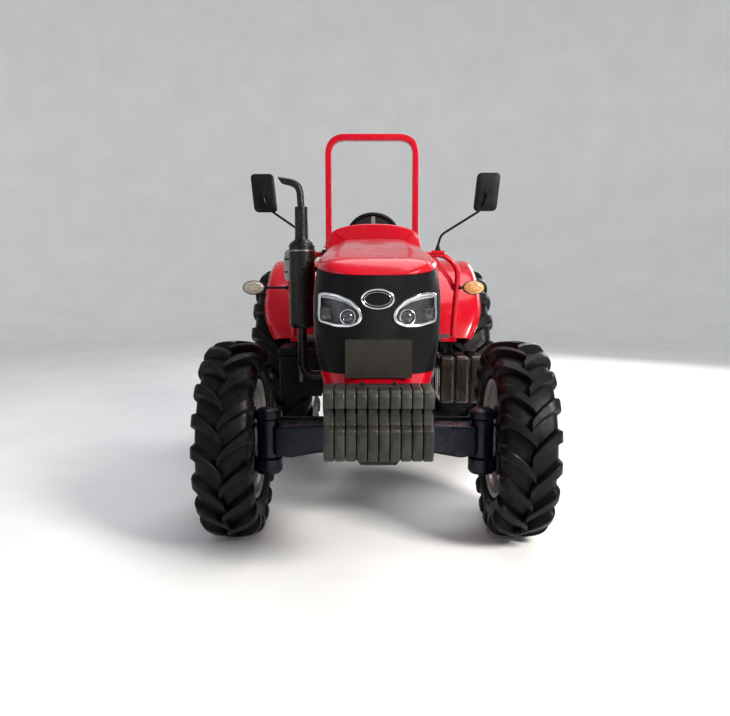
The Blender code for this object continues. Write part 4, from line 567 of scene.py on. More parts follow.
# painted shade: near-black matte fill for the louvre slots, standing for the shade inside them
vent_shade_black = surface_finish("vent_painted_shade", (0.004, 0.004, 0.004), (0.008, 0.008, 0.008), 0.7,
                           patch=30.0)
lamp_facets = surface_finish("lamp_facets", (0.06, 0.062, 0.066), (0.15, 0.155, 0.16), 0.18, 0.8,
                             coat=0.5,
                             patch=60.0, grain=70.0, height=0.0015)
lamp_strip = surface_finish("lamp_strip", (0.30, 0.31, 0.32), (0.42, 0.43, 0.45), 0.18, 0.3,
                            coat=1.0, patch=40.0,
                            grain=160.0, height=0.0004)
dial = surface_finish("dial_face", (0.016, 0.018, 0.020), (0.030, 0.033, 0.036), 0.10, coat=1.0,
                      patch=20.0,
                      grain=600.0, height=0.00002, spread=0.03)
wheel_grey = surface_finish("wheel_grey", (0.022, 0.024, 0.028), (0.034, 0.036, 0.040), 0.5,
                            patch=14.0, grain=600.0)
filter_paint = surface_finish("filter_paint", (0.030, 0.032, 0.036), (0.060, 0.062, 0.066), 0.32,
                              coat=0.4, patch=18.0,
                              grain=420.0, height=0.0002, dust=0.10)
mat = tread_plate_finish()
fins = fin_finish()


# ---- Wheels -----------------------------------------------------------------------------
FRONT_AXLE = (-1.0, 0.53538)
REAR_AXLE = (1.10, 0.733669)
FRONT_WHEEL = {"half": 0.1425, "top": 0.5347, "seat": 0.3053, "bead": 0.105, "lugs": 19,
               "deep": 0.038,
               "sweep": 0.235, "wide": 0.021, "disc": 0.015, "studs": 8}
REAR_WHEEL = {"half": 0.215, "top": 0.7330, "seat": 0.3813, "bead": 0.180, "lugs": 20,
              "deep": 0.043,
              "sweep": 0.250, "wide": 0.026, "disc": -0.050, "studs": 8}


def smoothed(points, times):
    """Corners cut by a quarter of each side, several times over, with both ends kept."""
    points = np.asarray(points, float)
    for _ in range(times):
        a = points[:-1] * 0.75 + points[1:] * 0.25
        b = points[:-1] * 0.25 + points[1:] * 0.75
        between = np.stack([a, b], axis=1).reshape(-1, 2)
        points = np.vstack([points[:1], between, points[-1:]])
    return points


def tyre_wall(w):
    """Half of the carcass section from the crown's middle to the bead, (across, radius)."""
    half, top, seat, deep = w["half"], w["top"], w["seat"], w["deep"]
    high = top - seat
    return smoothed([
        (0, top - deep), (half * 0.45, top - deep - 0.002), (half * 0.84, top - deep - 0.016),
        (half * 0.965, seat + high * 0.62), (half * 0.975, seat + high * 0.45),
        (half * 0.90, seat + high * 0.24), (w["bead"] + 0.006, seat + 0.034),
        (w["bead"] - 0.001, seat + 0.024), (w["bead"] - 0.001, seat)], 3)


def spun(across, radius, turn, centre):
    """A point of a wheel: across its axle, and at a radius and turn from the front."""
    x, y, z = centre
    across, radius, turn = np.broadcast_arrays(across, radius, turn)
    return np.stack([x + across, y - radius * np.cos(turn), z + radius * np.sin(turn)], axis=-1)


def tread_lugs(w, centre):
    """Slanted lugs: along q from the crown to the sidewall, a section of (k, h) stands at
    wall(q) + h * depth(q) * normal(q), turned by sweep * q' + k * wide / radius."""
    wall = tyre_wall(w)
    count = int(np.searchsorted(-wall[:, 1], -(w["seat"] + 0.46 * (w["top"] - w["seat"]))))
    base = wall[:count][:: max(1, count // 16)]
    base = np.vstack([[-0.010, base[0, 1]], base])
    step = np.gradient(base, axis=0)
    normal = np.stack([-step[:, 1], step[:, 0]], axis=-1)
    normal /= np.linalg.norm(normal, axis=1)[:, None]
    run = np.concatenate([[0], np.cumsum(np.linalg.norm(np.diff(base, axis=0), axis=1))])
    run /= run[-1]
    depth = w["deep"] * np.clip((1.0 - run) / 0.42, 0.0, 1.0) ** 0.75
    section = np.array([(-1.34, -0.12), (-1.10, 0.50), (-0.98, 0.90), (-0.80, 1.0), (0.72, 1.0),
                        (0.92, 0.90), (1.06, 0.50), (1.44, -0.12)])
    k, h = section[:, 0], section[:, 1]
    place = base[:, None] + (h * depth[:, None])[..., None] * normal[:, None]
    lean = w["sweep"] * np.clip(run / 0.66, 0.0, 1.0) ** 0.80
    wide = w["wide"] * (1.0 + 0.30 * np.clip(run / 0.6, 0, 1))
    turn = lean[:, None] + k * wide[:, None] / place[..., 1] * 1.15
    grids = []
    for flank, offset in ((1, 0.0), (-1, 0.5)):
        start = (np.arange(w["lugs"]) + offset) / w["lugs"] * TAU
        grids.append(spun(flank * place[..., 0][None], place[..., 1][None],
                          turn[None] + start[:, None, None], centre))
    return skin(np.concatenate(grids), wrap_columns=True, ends=True)


def tyre(name, body, w, centre):
    wall = tyre_wall(w)
    section = np.vstack([wall[::-1] * (-1, 1), wall[1:]])
    carcass = lathe(section, centre, (1, 0, 0), 144, closed=True)
    rings = []
    high = w["top"] - w["seat"]
    for share in (0.13, 0.19, 0.30):
        level = w["seat"] + high * share
        x = float(np.interp(level, wall[::-1, 1], wall[::-1, 0]))
        bead = [(x - 0.004, level - 0.005), (x + 0.0022, level - 0.002),
                (x + 0.0022, level + 0.002),
                (x - 0.004, level + 0.005)]
        for flank in (1, -1):
            ring = [(flank * a, r) for a, r in bead]
            rings.append(lathe(ring, centre, (1, 0, 0), 120, closed=True))
    level = w["seat"] + high * 0.155
    x = float(np.interp(level, wall[::-1, 1], wall[::-1, 0]))
    ribs = []
    for flank in (1, -1):
        rib = block((flank * x - 0.004, centre[1] - 0.0015, centre[2] + level - 0.006),
                    (flank * x + 0.0022, centre[1] + 0.0015, centre[2] + level + 0.006), 0.0008,
                    "X", 1)
        rib = shifted(rib, (centre[0], 0, 0))
        ribs.append(around(rib, 90, np.array(centre), (1, 0, 0)))
    return piece(name, body, [(together(carcass, tread_lugs(w, centre), *rings, *ribs), 0)],
                 [rubber], smooth=32, stands_for=(name,))


def wheel_rim(name, body, w, centre, side):
    """A drop-centre rim, its dished disc with a ring of studs, and the hub with its cap."""
    bead, half, at = w["seat"] - 0.0003, w["bead"], w["disc"]
    lip = half + 0.009
    well = bead - 0.030
    barrel = smoothed([(-lip - 0.002, bead + 0.021), (-lip + 0.004, bead + 0.020),
                       (-half - 0.001, bead + 0.014),
                       (-half, bead), (-half + 0.030, bead - 0.002), (-half + 0.045, well),
                       (half - 0.050, well), (half - 0.032, bead - 0.002), (half, bead),
                       (half + 0.001, bead + 0.014), (lip - 0.004, bead + 0.020),
                       (lip + 0.002, bead + 0.021)], 2)
    inner = smoothed([(lip + 0.002, bead + 0.017), (lip - 0.001, bead + 0.014),
                      (half + 0.002, bead - 0.004),
                      (half - 0.030, bead - 0.007), (half - 0.050, well - 0.005),
                      (-half + 0.046, well - 0.005),
                      (-half + 0.028, bead - 0.007), (-half - 0.002, bead - 0.004),
                      (-lip + 0.001, bead + 0.014),
                      (-lip - 0.002, bead + 0.017)], 2)
    axis = (side, 0, 0)
    shell = lathe(np.vstack([barrel, inner]), centre, axis, 112, closed=True)
    face = [(at + 0.004, well - 0.003), (at + 0.002, well - 0.012), (at - 0.002, 0.205),
            (at + 0.006, 0.165),
            (at + 0.012, 0.145), (at + 0.012, 0.118)]
    front = smoothed([(a + 0.009, r) for a, r in face], 2)
    back = smoothed([(a, r) for a, r in face[::-1]], 2)
    dish = lathe(np.vstack([front, back]), centre, axis, 96, closed=True)
    hub = lathe(smoothed([(at - 0.045, 0.052), (at - 0.045, 0.112), (at + 0.019, 0.124),
                          (at + 0.021, 0.102),
                          (at + 0.030, 0.080), (at + 0.048, 0.074), (at + 0.054, 0.066),
                          (at + 0.055, 0.034),
                          (at + 0.060, 0.030), (at + 0.060, 0.0)], 1), centre, axis, 64)
    socket = lathe([(at - 0.010, 0.0), (at - 0.010, 0.0475), (at - 0.045, 0.0475),
                    (at - 0.045, 0.052)],
                   centre, axis, 48)
    nut_at = np.array(centre) + (side * (at + 0.020), 0, 0.103)
    nuts = around(bolt(nut_at, axis, 0.0165, 0.017), w["studs"], np.array(centre), (1, 0, 0), 0.2)
    stud = lathe([(0.010, 0), (0.010, 0.0062), (0.030, 0.0062), (0.032, 0.004), (0.032, 0)],
                 nut_at, axis, 12)
    studs = around(stud, w["studs"], np.array(centre), (1, 0, 0), 0.2)
    cap_at = np.array(centre) + (side * (at + 0.054), 0, 0.052)
    small = around(bolt(cap_at, axis, 0.0075, 0.006), 6, np.array(centre), (1, 0, 0))
    valve_at = np.array(centre) + (side * (at + 0.012), 0, well - 0.028)
    valve = lathe([(0, 0), (0, 0.0075), (0.012, 0.0060), (0.030, 0.0040), (0.040, 0.0040),
                   (0.040, 0)],
                  valve_at, axis, 12)
    return piece(name, body, [(shell, 0), (dish, 0), (together(hub, socket), 0), (nuts, 1),
                              (studs, 1),
                              (small, 1), (valve, 2)], [rim_paint, steel, rubber], smooth=42,
                 stands_for=(name,))


for side_name, side in SIDES:
    for end, w, track, (y, z) in (("front", FRONT_WHEEL, 1.52, FRONT_AXLE),
                                  ("rear", REAR_WHEEL, 1.37, REAR_AXLE)):
        centre = (side * track / 2, y, z)
        tyre(f"{end}_tyre_{side_name}", f"{end}_wheel_{side_name}", w, centre)
        wheel_rim(f"{end}_rim_{side_name}", f"{end}_wheel_{side_name}", w, centre, side)


# ---- Bonnet -----------------------------------------------------------------------------
NOSE_Y, NOSE_BACK, BONNET_REAR, BONNET_HALF = -1.70, -1.35, -0.21, 0.308
NOSE_DEPTH = 0.35
BONNET_SHEET = 0.006
GRILLE_BOTTOM, GRILLE_TURN = 0.985, math.radians(68)


def belly(z):
    """The share of its full width that the nose has at a height: 1 - 0.10 low^2 - 0.07 high^2."""
    low = np.maximum(1.265 - z, 0.0) / 0.285
    high = np.maximum(z - 1.265, 0.0) / 0.20
    return 1.0 - 0.10 * low**2 - 0.07 * high**2


def plan_half(y):
    """Half width seen from above: half * (1 - along^3)^(1/3) round the nose, then even."""
    along = np.clip((NOSE_BACK - y) / NOSE_DEPTH, 0.0, 1.0)
    return BONNET_HALF * (1.0 - along**3) ** (1 / 3)


def nose_y(x, z):
    """How far forward the nose's outer face is at a place across and up."""
    share = np.clip(np.abs(x) / (BONNET_HALF * belly(z)), 0.0, 1.0)
    return NOSE_BACK - NOSE_DEPTH * (1.0 - share**3) ** (1 / 3)


def crown(y):
    crest = NOSE_Y + 0.10
    back = np.clip((BONNET_REAR - y) / (BONNET_REAR - crest), 0.0, 1.0)
    steep = np.clip((crest - y) / 0.10, 0.0, 1.0)
    return 1.497 + 0.148 * (1.0 - back**1.6) - 0.067 * steep**1.4


def shoulder(y):
    along = np.clip((y - NOSE_Y) / (BONNET_REAR - NOSE_Y), 0.0, 1.0)
    return 1.430 + 0.100 * (1.0 - (1.0 - along) ** 3.2)


def skirt(y):
    along = np.clip((y - NOSE_Y) / (BONNET_REAR - NOSE_Y), 0.0, 1.0)
    return 0.942 - 0.082 * np.clip(along / 0.13, 0, 1) ** 1.5 + 0.15 * np.clip(along - 0.13, 0, 1)


def walled(outer, by):
    """A grid of points with its copy moved inwards by a distance along its own normals, joined
    round the rim."""
    du = np.gradient(outer, axis=0)
    dv = np.gradient(outer, axis=1)
    normal = np.cross(du, dv)
    normal /= np.maximum(np.linalg.norm(normal, axis=2), 1e-12)[..., None]
    inner = outer + by * normal
    rows, columns = outer.shape[:2]
    near, far = skin(outer), skin(inner)
    shell = together(near, far)
    index = np.arange(rows * columns).reshape(rows, columns)
    rim = np.concatenate([index[0, :-1], index[:-1, -1], index[-1, :0:-1], index[:0:-1, 0]])
    after = np.roll(rim, -1)
    side = np.stack([rim, after, after + rows * columns, rim + rows * columns], axis=-1)
    return shell[0], np.vstack([shell[1], side]), shell[2]


def bonnet_row(y, turns):
    """One side of a cross-section, from the skirt over the wall to the crown's middle line."""
    levels = np.concatenate([np.linspace(0, 1, 30)])[:, None]
    wall_z = skirt(y)[None] + (shoulder(y) - skirt(y))[None] * levels
    wall_x = plan_half(y)[None] * belly(wall_z)
    # a shallow crease runs along the side panel, and a step bounds the roof's raised middle
    crease = 0.0050 * np.exp(-((wall_z - 1.372 - 0.06 * (y - NOSE_BACK)[None]) / 0.012) ** 2)
    crease = crease * np.clip((y[None] - NOSE_BACK + 0.02) / 0.10, 0, 1)
    rise = (crown(y) - shoulder(y))[None]
    angle = turns[1:, None]
    roof_x = wall_x[-1][None] * np.cos(angle) ** (2 / 3.5)
    roof_z = shoulder(y)[None] + rise * np.sin(angle) ** (2 / 3.5)
    roof_x[-1] = 0.0
    crest = 0.182 + 0.058 * np.clip((NOSE_Y + 0.55 - y) / 0.50, 0, 1)[None]
    ridge = 0.0100 / (1.0 + np.exp((roof_x - crest) / 0.0035))
    x = np.vstack([wall_x - crease, roof_x])
    z = np.vstack([wall_z, roof_z + ridge * np.clip((y[None] - NOSE_Y) / 0.12, 0, 1)])
    return x, z


def bonnet():
    """The red cover. Its rows follow bonnet_row along the bonnet. The nose rows keep only the
    lip below the grille and the band above it."""
    turn = np.linspace(0, math.pi / 2, 60)
    nose = NOSE_BACK - NOSE_DEPTH * np.cos(np.linspace(0, GRILLE_TURN, 26)) ** (2 / 3)
    rest = NOSE_BACK - NOSE_DEPTH * np.cos(np.linspace(GRILLE_TURN, math.pi / 2, 8)) ** (2 / 3)
    straight = np.linspace(NOSE_BACK, BONNET_REAR, 40)[1:]
    back_y = np.concatenate([rest, straight])
    x, z = bonnet_row(back_y, turn)
    whole_x = np.vstack([x, -x[-2::-1]])
    whole_z = np.vstack([z, z[-2::-1]])
    points = np.stack([whole_x, np.broadcast_to(back_y, whole_x.shape), whole_z], axis=-1)
    body = walled(points, BONNET_SHEET)
    x, z = bonnet_row(nose, turn)
    roof = slice(29, None)
    top_x = np.vstack([x[roof], -x[roof][-2::-1]])
    top_z = np.vstack([z[roof], z[roof][-2::-1]])
    band = walled(np.stack([top_x, np.broadcast_to(nose, top_x.shape), top_z], axis=-1),
                  BONNET_SHEET)
    lips = []
    for side in (1, -1):
        share = np.linspace(0, 1, 9)[:, None]
        lip_z = skirt(nose)[None] + (GRILLE_BOTTOM - skirt(nose))[None] * share
        lip_x = side * plan_half(nose)[None] * belly(lip_z)
        grid = np.stack([lip_x, np.broadcast_to(nose, lip_x.shape), lip_z], axis=-1)
        lips.append(walled(grid if side > 0 else grid[::-1], BONNET_SHEET))
    lugs = []
    for side in (1, -1):
        outline = rounded([(-0.279, 1.630), (-0.212, 1.641), (-0.190, 1.631), (-0.190, 1.605),
                           (-0.222, 1.601)], 0.010)
        lug = slab(outline, "X", 0.154, 0.166, 0.002)
        lugs.append(on_side(lug, side))
    latches = []
    for side in (1, -1):
        for y in (-0.34, -1.02):
            keeper = block((0.2935, y - 0.016, 1.056), (0.3075, y + 0.016, 1.076), 0.004, "X")
            latches.append(on_side(keeper, side))
    return piece("bonnet_cover", "bonnet", [(body, 0), (band, 0), (together(*lips), 0),
                                            (together(*lugs), 0),
                                           (together(*latches), 1)],
                 [red, black], smooth=30, stands_for=("bonnet",))


def side_louvres():
    """Six slanted slots in each side panel: a recess filled with painted shade (a near-black tube), with a
    pressed hood over it.
    """
    shapes = []
    for side in (1, -1):
        for k in range(6):
            y = -0.98 + 0.062 * k
            top = 1.255 - 0.010 * k
            path = np.array([(BONNET_HALF * float(belly(z)) + 0.0005, y + (z - 1.15) * 0.28, z)
                             for z in np.linspace(top - 0.15, top, 9)])
            swell = np.sin(np.linspace(0, math.pi, 9)) ** 0.5 * 0.9 + 0.1
            hood = tube(path, [(-0.002, -0.018), (0.0095, -0.010), (0.0085, -0.006), (0.0, 0.014),
                               (-0.002, 0.016)],
                        up=(0, 1, 0), scale=swell)
            shapes.append((on_side(hood, side), 0))
            # the near-black tube in each slot is painted shade in the recess
            dark_path = path + (0.0006, -0.0125, 0)
            slot = tube(dark_path, disc(0.006, 10, 0.5) @ np.array([[0, 1], [1, 0]]), up=(0, 1, 0),
                        scale=swell)
            shapes.append((on_side(slot, side), 1))
    return piece("bonnet_louvres", "bonnet", shapes, [red, vent_shade_black], smooth=45)


# ---- Grille, lamps, badge and plate ------------------------------------------------------
LAMP = np.array([(0.270, 1.214), (0.277, 1.245), (0.274, 1.346), (0.240, 1.355), (0.185, 1.348),
                 (0.118, 1.322), (0.077, 1.280), (0.066, 1.246), (0.080, 1.213), (0.115, 1.197),
                 (0.190, 1.197)])


def on_nose(x, z, proud):
    """A place across and up put on the nose's face and moved out of it."""
    return np.stack([x, nose_y(x, z) - proud, z], axis=-1)


def inside(outline, x, z):
    """Which places lie in a closed outline: an odd number of its sides cross to their right."""
    a, b = outline, np.roll(outline, -1, axis=0)
    rises = (a[:, 1] > z[:, None]) != (b[:, 1] > z[:, None])
    at = a[:, 0] + (z[:, None] - a[:, 1]) / np.where(b[:, 1] == a[:, 1], 1.0, b[:, 1]
                                                     - a[:, 1]) * (b[:, 0] - a[:, 0])
    return (rises & (x[:, None] < at)).sum(axis=1) % 2 == 1


def without(shape, outline):
    """A shape less its faces that lie inside an outline on either side, with the cut edges of
    its two skins joined."""
    hole = inset(rounded(outline, 0.013, 4), 0.006)
    middle = shape[0][shape[1]].mean(axis=1)
    keep = ~inside(hole, np.abs(middle[:, 0]), middle[:, 2])
    half = len(shape[0]) // 2
    quads = shape[1][keep]
    front = quads[(quads < half).all(axis=1)]
    edges = np.stack([front, np.roll(front, -1, axis=1)], axis=-1).reshape(-1, 2)
    code = np.sort(edges, axis=1) @ np.array([len(shape[0]), 1])
    _, first, count = np.unique(code, return_index=True, return_counts=True)
    single = edges[first[count == 1]]
    at = shape[0][single].mean(axis=1)
    line = rounded(outline, 0.013, 4)
    single = single[inside(inset(line, -0.012), np.abs(at[:, 0]), at[:, 2])]
    wall = np.stack([single[:, 0], single[:, 1], single[:, 1] + half, single[:, 0] + half],
                    axis=-1)
    return shape[0], np.vstack([quads, wall]), shape[2]


def grille():
    """The black face: x = half * belly(z) * sin^(2/3) t, y from the nose's own curve, with its
    map in metres round the nose and up, and holes cut for its lamps."""
    t = np.linspace(-GRILLE_TURN + 0.012, GRILLE_TURN - 0.012, 121)
    share = np.sign(t) * np.abs(np.sin(t)) ** (2 / 3)
    depth = 0.0035
    y = NOSE_BACK - (0.35 - depth) * (1 - np.abs(share) ** 3) ** (1 / 3)
    level = np.linspace(0, 1, 61)[:, None]
    z = GRILLE_BOTTOM + 0.002 + (shoulder(y) - 0.003 - GRILLE_BOTTOM - 0.002)[None] * level
    x = share[None] * (BONNET_HALF - depth) * belly(z)
    points = np.stack([x, np.broadcast_to(y, x.shape), z], axis=-1)
    face = without(walled(points, -0.008), LAMP)
    obj = piece("grille_face", "bonnet", [(face, 0)], [mesh_black], smooth=50,
                stands_for=("grille",))
    mesh = obj.data
    count = len(mesh.vertices)
    co = np.empty(count * 3)
    mesh.vertices.foreach_get("co", co)
    co = co.reshape(-1, 3)
    run = np.concatenate([[0], np.cumsum(np.hypot(np.diff(share * BONNET_HALF), np.diff(y)))])
    run -= run[60]
    u = np.interp(co[:, 0] / (BONNET_HALF * belly(co[:, 2])), share, run)
    corner = np.empty(len(mesh.loops), np.int32)
    mesh.loops.foreach_get("vertex_index", corner)
    layer = mesh.uv_layers.new(name="metres")
    layer.uv.foreach_set("vector", np.stack([u[corner], co[corner, 2]], axis=-1).ravel())
    return obj


def nose_band(outline, width, proud, sunk, steps=5):
    """A rounded frame that follows a closed outline on the nose: ring k runs from the outer
    edge, over a crest, to the inner edge, each inset further and standing off the face."""
    k = np.linspace(0, math.pi, steps * 2 + 1)
    rings = [on_nose(*inset(outline, width * (1 - math.cos(a)) / 2).T, proud * math.sin(a) ** 0.7
                     - sunk)
             for a in k]
    under = [on_nose(*inset(outline, width * 0.9).T, -sunk - 0.006),
             on_nose(*inset(outline, width * 0.1).T, -sunk - 0.006)]
    return skin(np.stack(rings + under), wrap_rows=True, wrap_columns=True)


def nose_pane(outline, proud, thick, dome=0.0, rings=7):
    """A pane on the nose: shares of the outline towards its middle, with a low dome."""
    middle = outline.mean(axis=0)
    shares = np.linspace(1, 0.02, rings)
    front = [on_nose(*(middle + s * (outline - middle)).T, proud + dome * (1 - s**2))
             for s in shares]
    back = on_nose(*outline.T, proud - thick)
    return skin(np.stack([back] + front), wrap_columns=True, ends=True)


def headlamp(side_name, side):
    """A lamp unit: chrome frame, dark shell with a lens barrel inside and a ribbed reflector
    outside, a light strip along the top, under one clear cover."""
    frame_line = rounded(LAMP, 0.013, 4)
    chrome_frame = nose_band(frame_line, 0.0165, 0.0105, -0.002)
    floor_line = inset(frame_line, 0.009)
    shell = nose_pane(floor_line, -0.030, 0.012)
    side_wall = skin(np.stack([on_nose(*floor_line.T, 0.002), on_nose(*floor_line.T, -0.034),
                               on_nose(*inset(floor_line, -0.002).T, -0.034),
                               on_nose(*inset(floor_line, -0.002).T, 0.002)]), wrap_rows=True,
                     wrap_columns=True)
    at = np.array([0.134, float(nose_y(0.134, 1.243)) + 0.006, 1.243])
    facing = (0.06, -1, 0.03)
    barrel = lathe([(-0.040, 0.0), (-0.040, 0.036), (0.002, 0.036), (0.0035, 0.034),
                    (0.0035, 0.031),
                    (-0.006, 0.028), (-0.006, 0.0)], at, facing, 48)
    eye = np.linspace(0, math.pi / 2, 9)
    ball = np.stack([-0.010 + 0.020 * np.cos(eye), 0.0285 * np.sin(eye)], axis=-1)
    ball = lathe(np.vstack([ball, [(-0.014, 0.0285)], [(-0.014, 0.0)]]), at, facing, 48)
    low_at = np.array([0.236, float(nose_y(0.236, 1.250)) + 0.008, 1.250])
    cup = slab(oblong((low_at[0] - 0.030, 1.226), (low_at[0] + 0.026, 1.290), 0.012), "Y",
               low_at[1] - 0.006, low_at[1] + 0.030, 0.003)
    mirror_cup = slab(oblong((low_at[0] - 0.022, 1.234), (low_at[0] + 0.018, 1.282), 0.008), "Y",
                      low_at[1] - 0.008, low_at[1], 0.003)
    strip_line = np.array([(0.098, 1.286), (0.140, 1.312), (0.200, 1.328), (0.255, 1.334)])
    strip = tube(on_nose(strip_line[:, 0], strip_line[:, 1], -0.006),
                 oblong((-0.006, -0.006), (0.006, 0.006), 0.003),
                 up=(0, 1, 0))
    foot_line = np.array([(0.098, 1.208), (0.150, 1.203), (0.220, 1.203), (0.262, 1.210)])
    foot = tube(on_nose(foot_line[:, 0], foot_line[:, 1], -0.004),
                oblong((-0.005, -0.004), (0.005, 0.004), 0.002),
                up=(0, 1, 0))
    cover = nose_pane(inset(frame_line, 0.010), 0.0015, 0.002, 0.002)
    shapes = [(chrome_frame, 0), (shell, 1), (side_wall, 1), (barrel, 0), (ball, 2), (cup, 1),
              (mirror_cup, 3),
              (strip, 4), (foot, 0)]
    lamp = piece(f"headlamp_unit_{side_name}", "bonnet", shapes,
                 [chrome, lamp_shell, lens_dark, lamp_facets, lamp_strip], side, smooth=45,
                 stands_for=(f"headlamp_{side_name}",))
    piece(f"headlamp_cover_{side_name}", "bonnet", [(cover, 0)], [clear], side, smooth=45)
    return lamp


def badge():
    """A blank oval: a chrome ring standing round a dark domed field with a thin raised inner ring."""
    line = disc(1.0, 72) * (0.0765, 0.048) + (0.0, 1.324)
    ring = nose_band(line, 0.0105, 0.0075, -0.003, 6)
    field = nose_pane(inset(line, 0.008), 0.0045, 0.010, 0.002, 9)
    inner = nose_band(inset(line, 0.0155), 0.0028, 0.0022, -0.0055, 3)
    return piece("badge_oval", "bonnet", [(ring, 0), (field, 1), (inner, 0)], [chrome, black],
                 smooth=45,
                 stands_for=("badge",))


def number_plate():
    """A blank pressed plate: raised rim, four small holes drawn as black discs of painted shade, and two
    spacers behind it.
    """
    outer = oblong((-0.146, 0.9710), (0.154, 1.1445), 0.008, 6)
    levels = [(-1.7060, 0.0), (-1.7090, 0.0), (-1.7095, 0.0010), (-1.7095, 0.0040),
              (-1.7083, 0.0055)]
    rings = [set_along(inset(outer, i), "Y", y) for y, i in levels]
    plate = skin(np.stack(rings), wrap_columns=True, ends=True)
    # each hole is a thin black disc on the face: painted shade for the opening
    holes = together(*[lathe([(0, 0), (0, 0.0030), (0.0006, 0.0030), (0.0006, 0)], (x, -1.7083, z),
                             (0, -1, 0), 16)
                       for x, z in ((-0.114, 1.126), (0.128, 1.126), (-0.078, 0.988),
                                    (0.082, 0.988))])
    spacers = together(*[lathe([(0, 0), (0, 0.010), (0.012, 0.010), (0.012, 0)],
                               (x, -1.7065, 1.062), (0, 1, 0), 20)
                         for x in (-0.060, 0.060)])
    return piece("plate_blank", "bonnet", [(plate, 0), (holes, 1), (spacers, 1)],
                 [plate_paint, black], smooth=18, stands_for=("number_plate",))


bonnet()
side_louvres()
grille()
badge()
number_plate()
for side_name, side in SIDES:
    headlamp(side_name, side)


# ---- Front weights ----------------------------------------------------------------------
def front_weights():
    """Ten suitcase weights: a side outline with a rounded grip slot across it, carried over
    each weight's thickness with rounded rims; the middle pair has bolts on top."""
    face, back = -1.980, -1.7255
    outline = rounded([
        (back, 0.646), (back, 0.862), (-1.744, 0.955), (face + 0.024, 0.955), (face, 0.936),
                       (face, 0.882),
        (face + 0.010, 0.876), (face + 0.044, 0.870), (face + 0.044, 0.806), (face + 0.012, 0.794),
        (face + 0.003, 0.784), (face + 0.003, 0.694), (face + 0.036, 0.646)],
        [0.004, 0.010, 0.012, 0.016, 0.014, 0.008, 0.006, 0.008, 0.008, 0.006, 0.012, 0.016,
         0.012], 4)
    one = slab(outline, "X", -0.0222, 0.0222, 0.0075, 4)
    across = (np.arange(10) - 4.5) * 0.0466
    weights = repeated(one, np.stack([across, 0 * across, 0 * across], axis=-1))
    rod_path = [(-0.226, -1.915, 0.838), (0.226, -1.915, 0.838)]
    grip = tube(rod_path, disc(0.011, 20), up=(0, 1, 0))
    pads = []
    for level, high in ((0.908, 0.042), (0.742, 0.064)):
        pad = slab(oblong((-0.0135, level - high / 2), (0.0135, level + high / 2), 0.006), "Y",
                   face - 0.0002,
                   face + 0.010, 0.0025)
        pads.append(repeated(pad, np.stack([across, 0 * across, 0 * across], axis=-1)))
    bolts = together(*[bolt((x, -1.865, 0.9600), (0, 0, 1), 0.0125, 0.018)
                       for x in (-0.070, 0.070)])
    clamp = slab(oblong((-0.100, -1.885), (0.100, -1.845), 0.006), "Z", 0.9520, 0.9610, 0.002)
    keeper = slab(rounded([(-0.098, 0.658), (0.098, 0.658), (0.076, 0.629), (-0.076, 0.629)],
                          0.006), "Y",
                  -1.930, -1.745, 0.003)
    return piece("suitcase_weights", "root", [(weights, 0), (together(*pads), 0), (grip, 1),
                                              (bolts, 1), (clamp, 0),
                                              (keeper, 1)],
                 [iron, dark], smooth=38, stands_for=("front_weights",))


# ---- Cowl, rails, mirrors and lamps -----------------------------------------------------
def dash_cowl():
    """The cowl: its front outline carried backwards with rounded rims, then the instrument
    binnacle, its gauges and switches, and the two hinge arms for the cover."""
    right = [(0.200, 0.9983), (0.275, 1.26), (0.305, 1.50), (0.305, 1.62), (0.290, 1.690),
             (0.235, 1.727),
             (0.128, 1.752), (0.0, 1.758)]
    line = np.array(right + [(-x, z) for x, z in right[-2::-1]])
    line = rounded(line, [0.012] + [0.07] * 13 + [0.012], 5)
    shell = slab(line, "Y", -0.175, 0.025, 0.020, 6)
    rib = slab(inset(line, 0.024), "Y", -0.1775, -0.170, 0.002)
    arms = []
    for side in (1, -1):
        arm = slab(rounded([(-0.216, 1.607), (-0.170, 1.607), (-0.170, 1.629), (-0.216, 1.629)],
                           0.006), "X",
                   0.1675, 0.1795, 0.002)
        pin = tube([(0.150, -0.204, 1.619), (0.190, -0.204, 1.619)], disc(0.0078, 16),
                   up=(0, 1, 0))
        arms += [on_side(arm, side), on_side(pin, side)]
    face = slab(oblong((-0.185, 1.470), (0.185, 1.715), 0.045, 8), "Y", 0.018, 0.0335, 0.006, 4)
    gauges, faces = [], []
    for x, z, r in ((-0.105, 1.630, 0.036), (0.0, 1.640, 0.048), (0.105, 1.630, 0.036)):
        gauges.append(lathe([(0, 0), (0, r), (0.008, r), (0.010, r - 0.003), (0.006, r - 0.006),
                             (0.004, r - 0.007),
                             (0.004, 0)], (x, 0.0325, z), (0, 1, 0), 48))
        faces.append(lathe([(0.0, 0), (0.0, r - 0.007), (0.0065, r - 0.007), (0.0065, 0)],
                           (x, 0.0325, z), (0, 1, 0), 40))
    keys = together(*[block((x - 0.014, 0.030, 1.520), (x + 0.014, 0.043, 1.548), 0.004, "Y")
                      for x in (-0.14, -0.095, 0.095, 0.14)])
    return piece("cowl_cover", "root", [(shell, 0), (rib, 0), (together(*arms), 1), (face, 2),
                                        (together(*gauges), 3),
                                        (together(*faces), 4), (keys, 2)],
                 [red, black, moulded, chrome, dial], smooth=35, stands_for=("dash_cowl",))


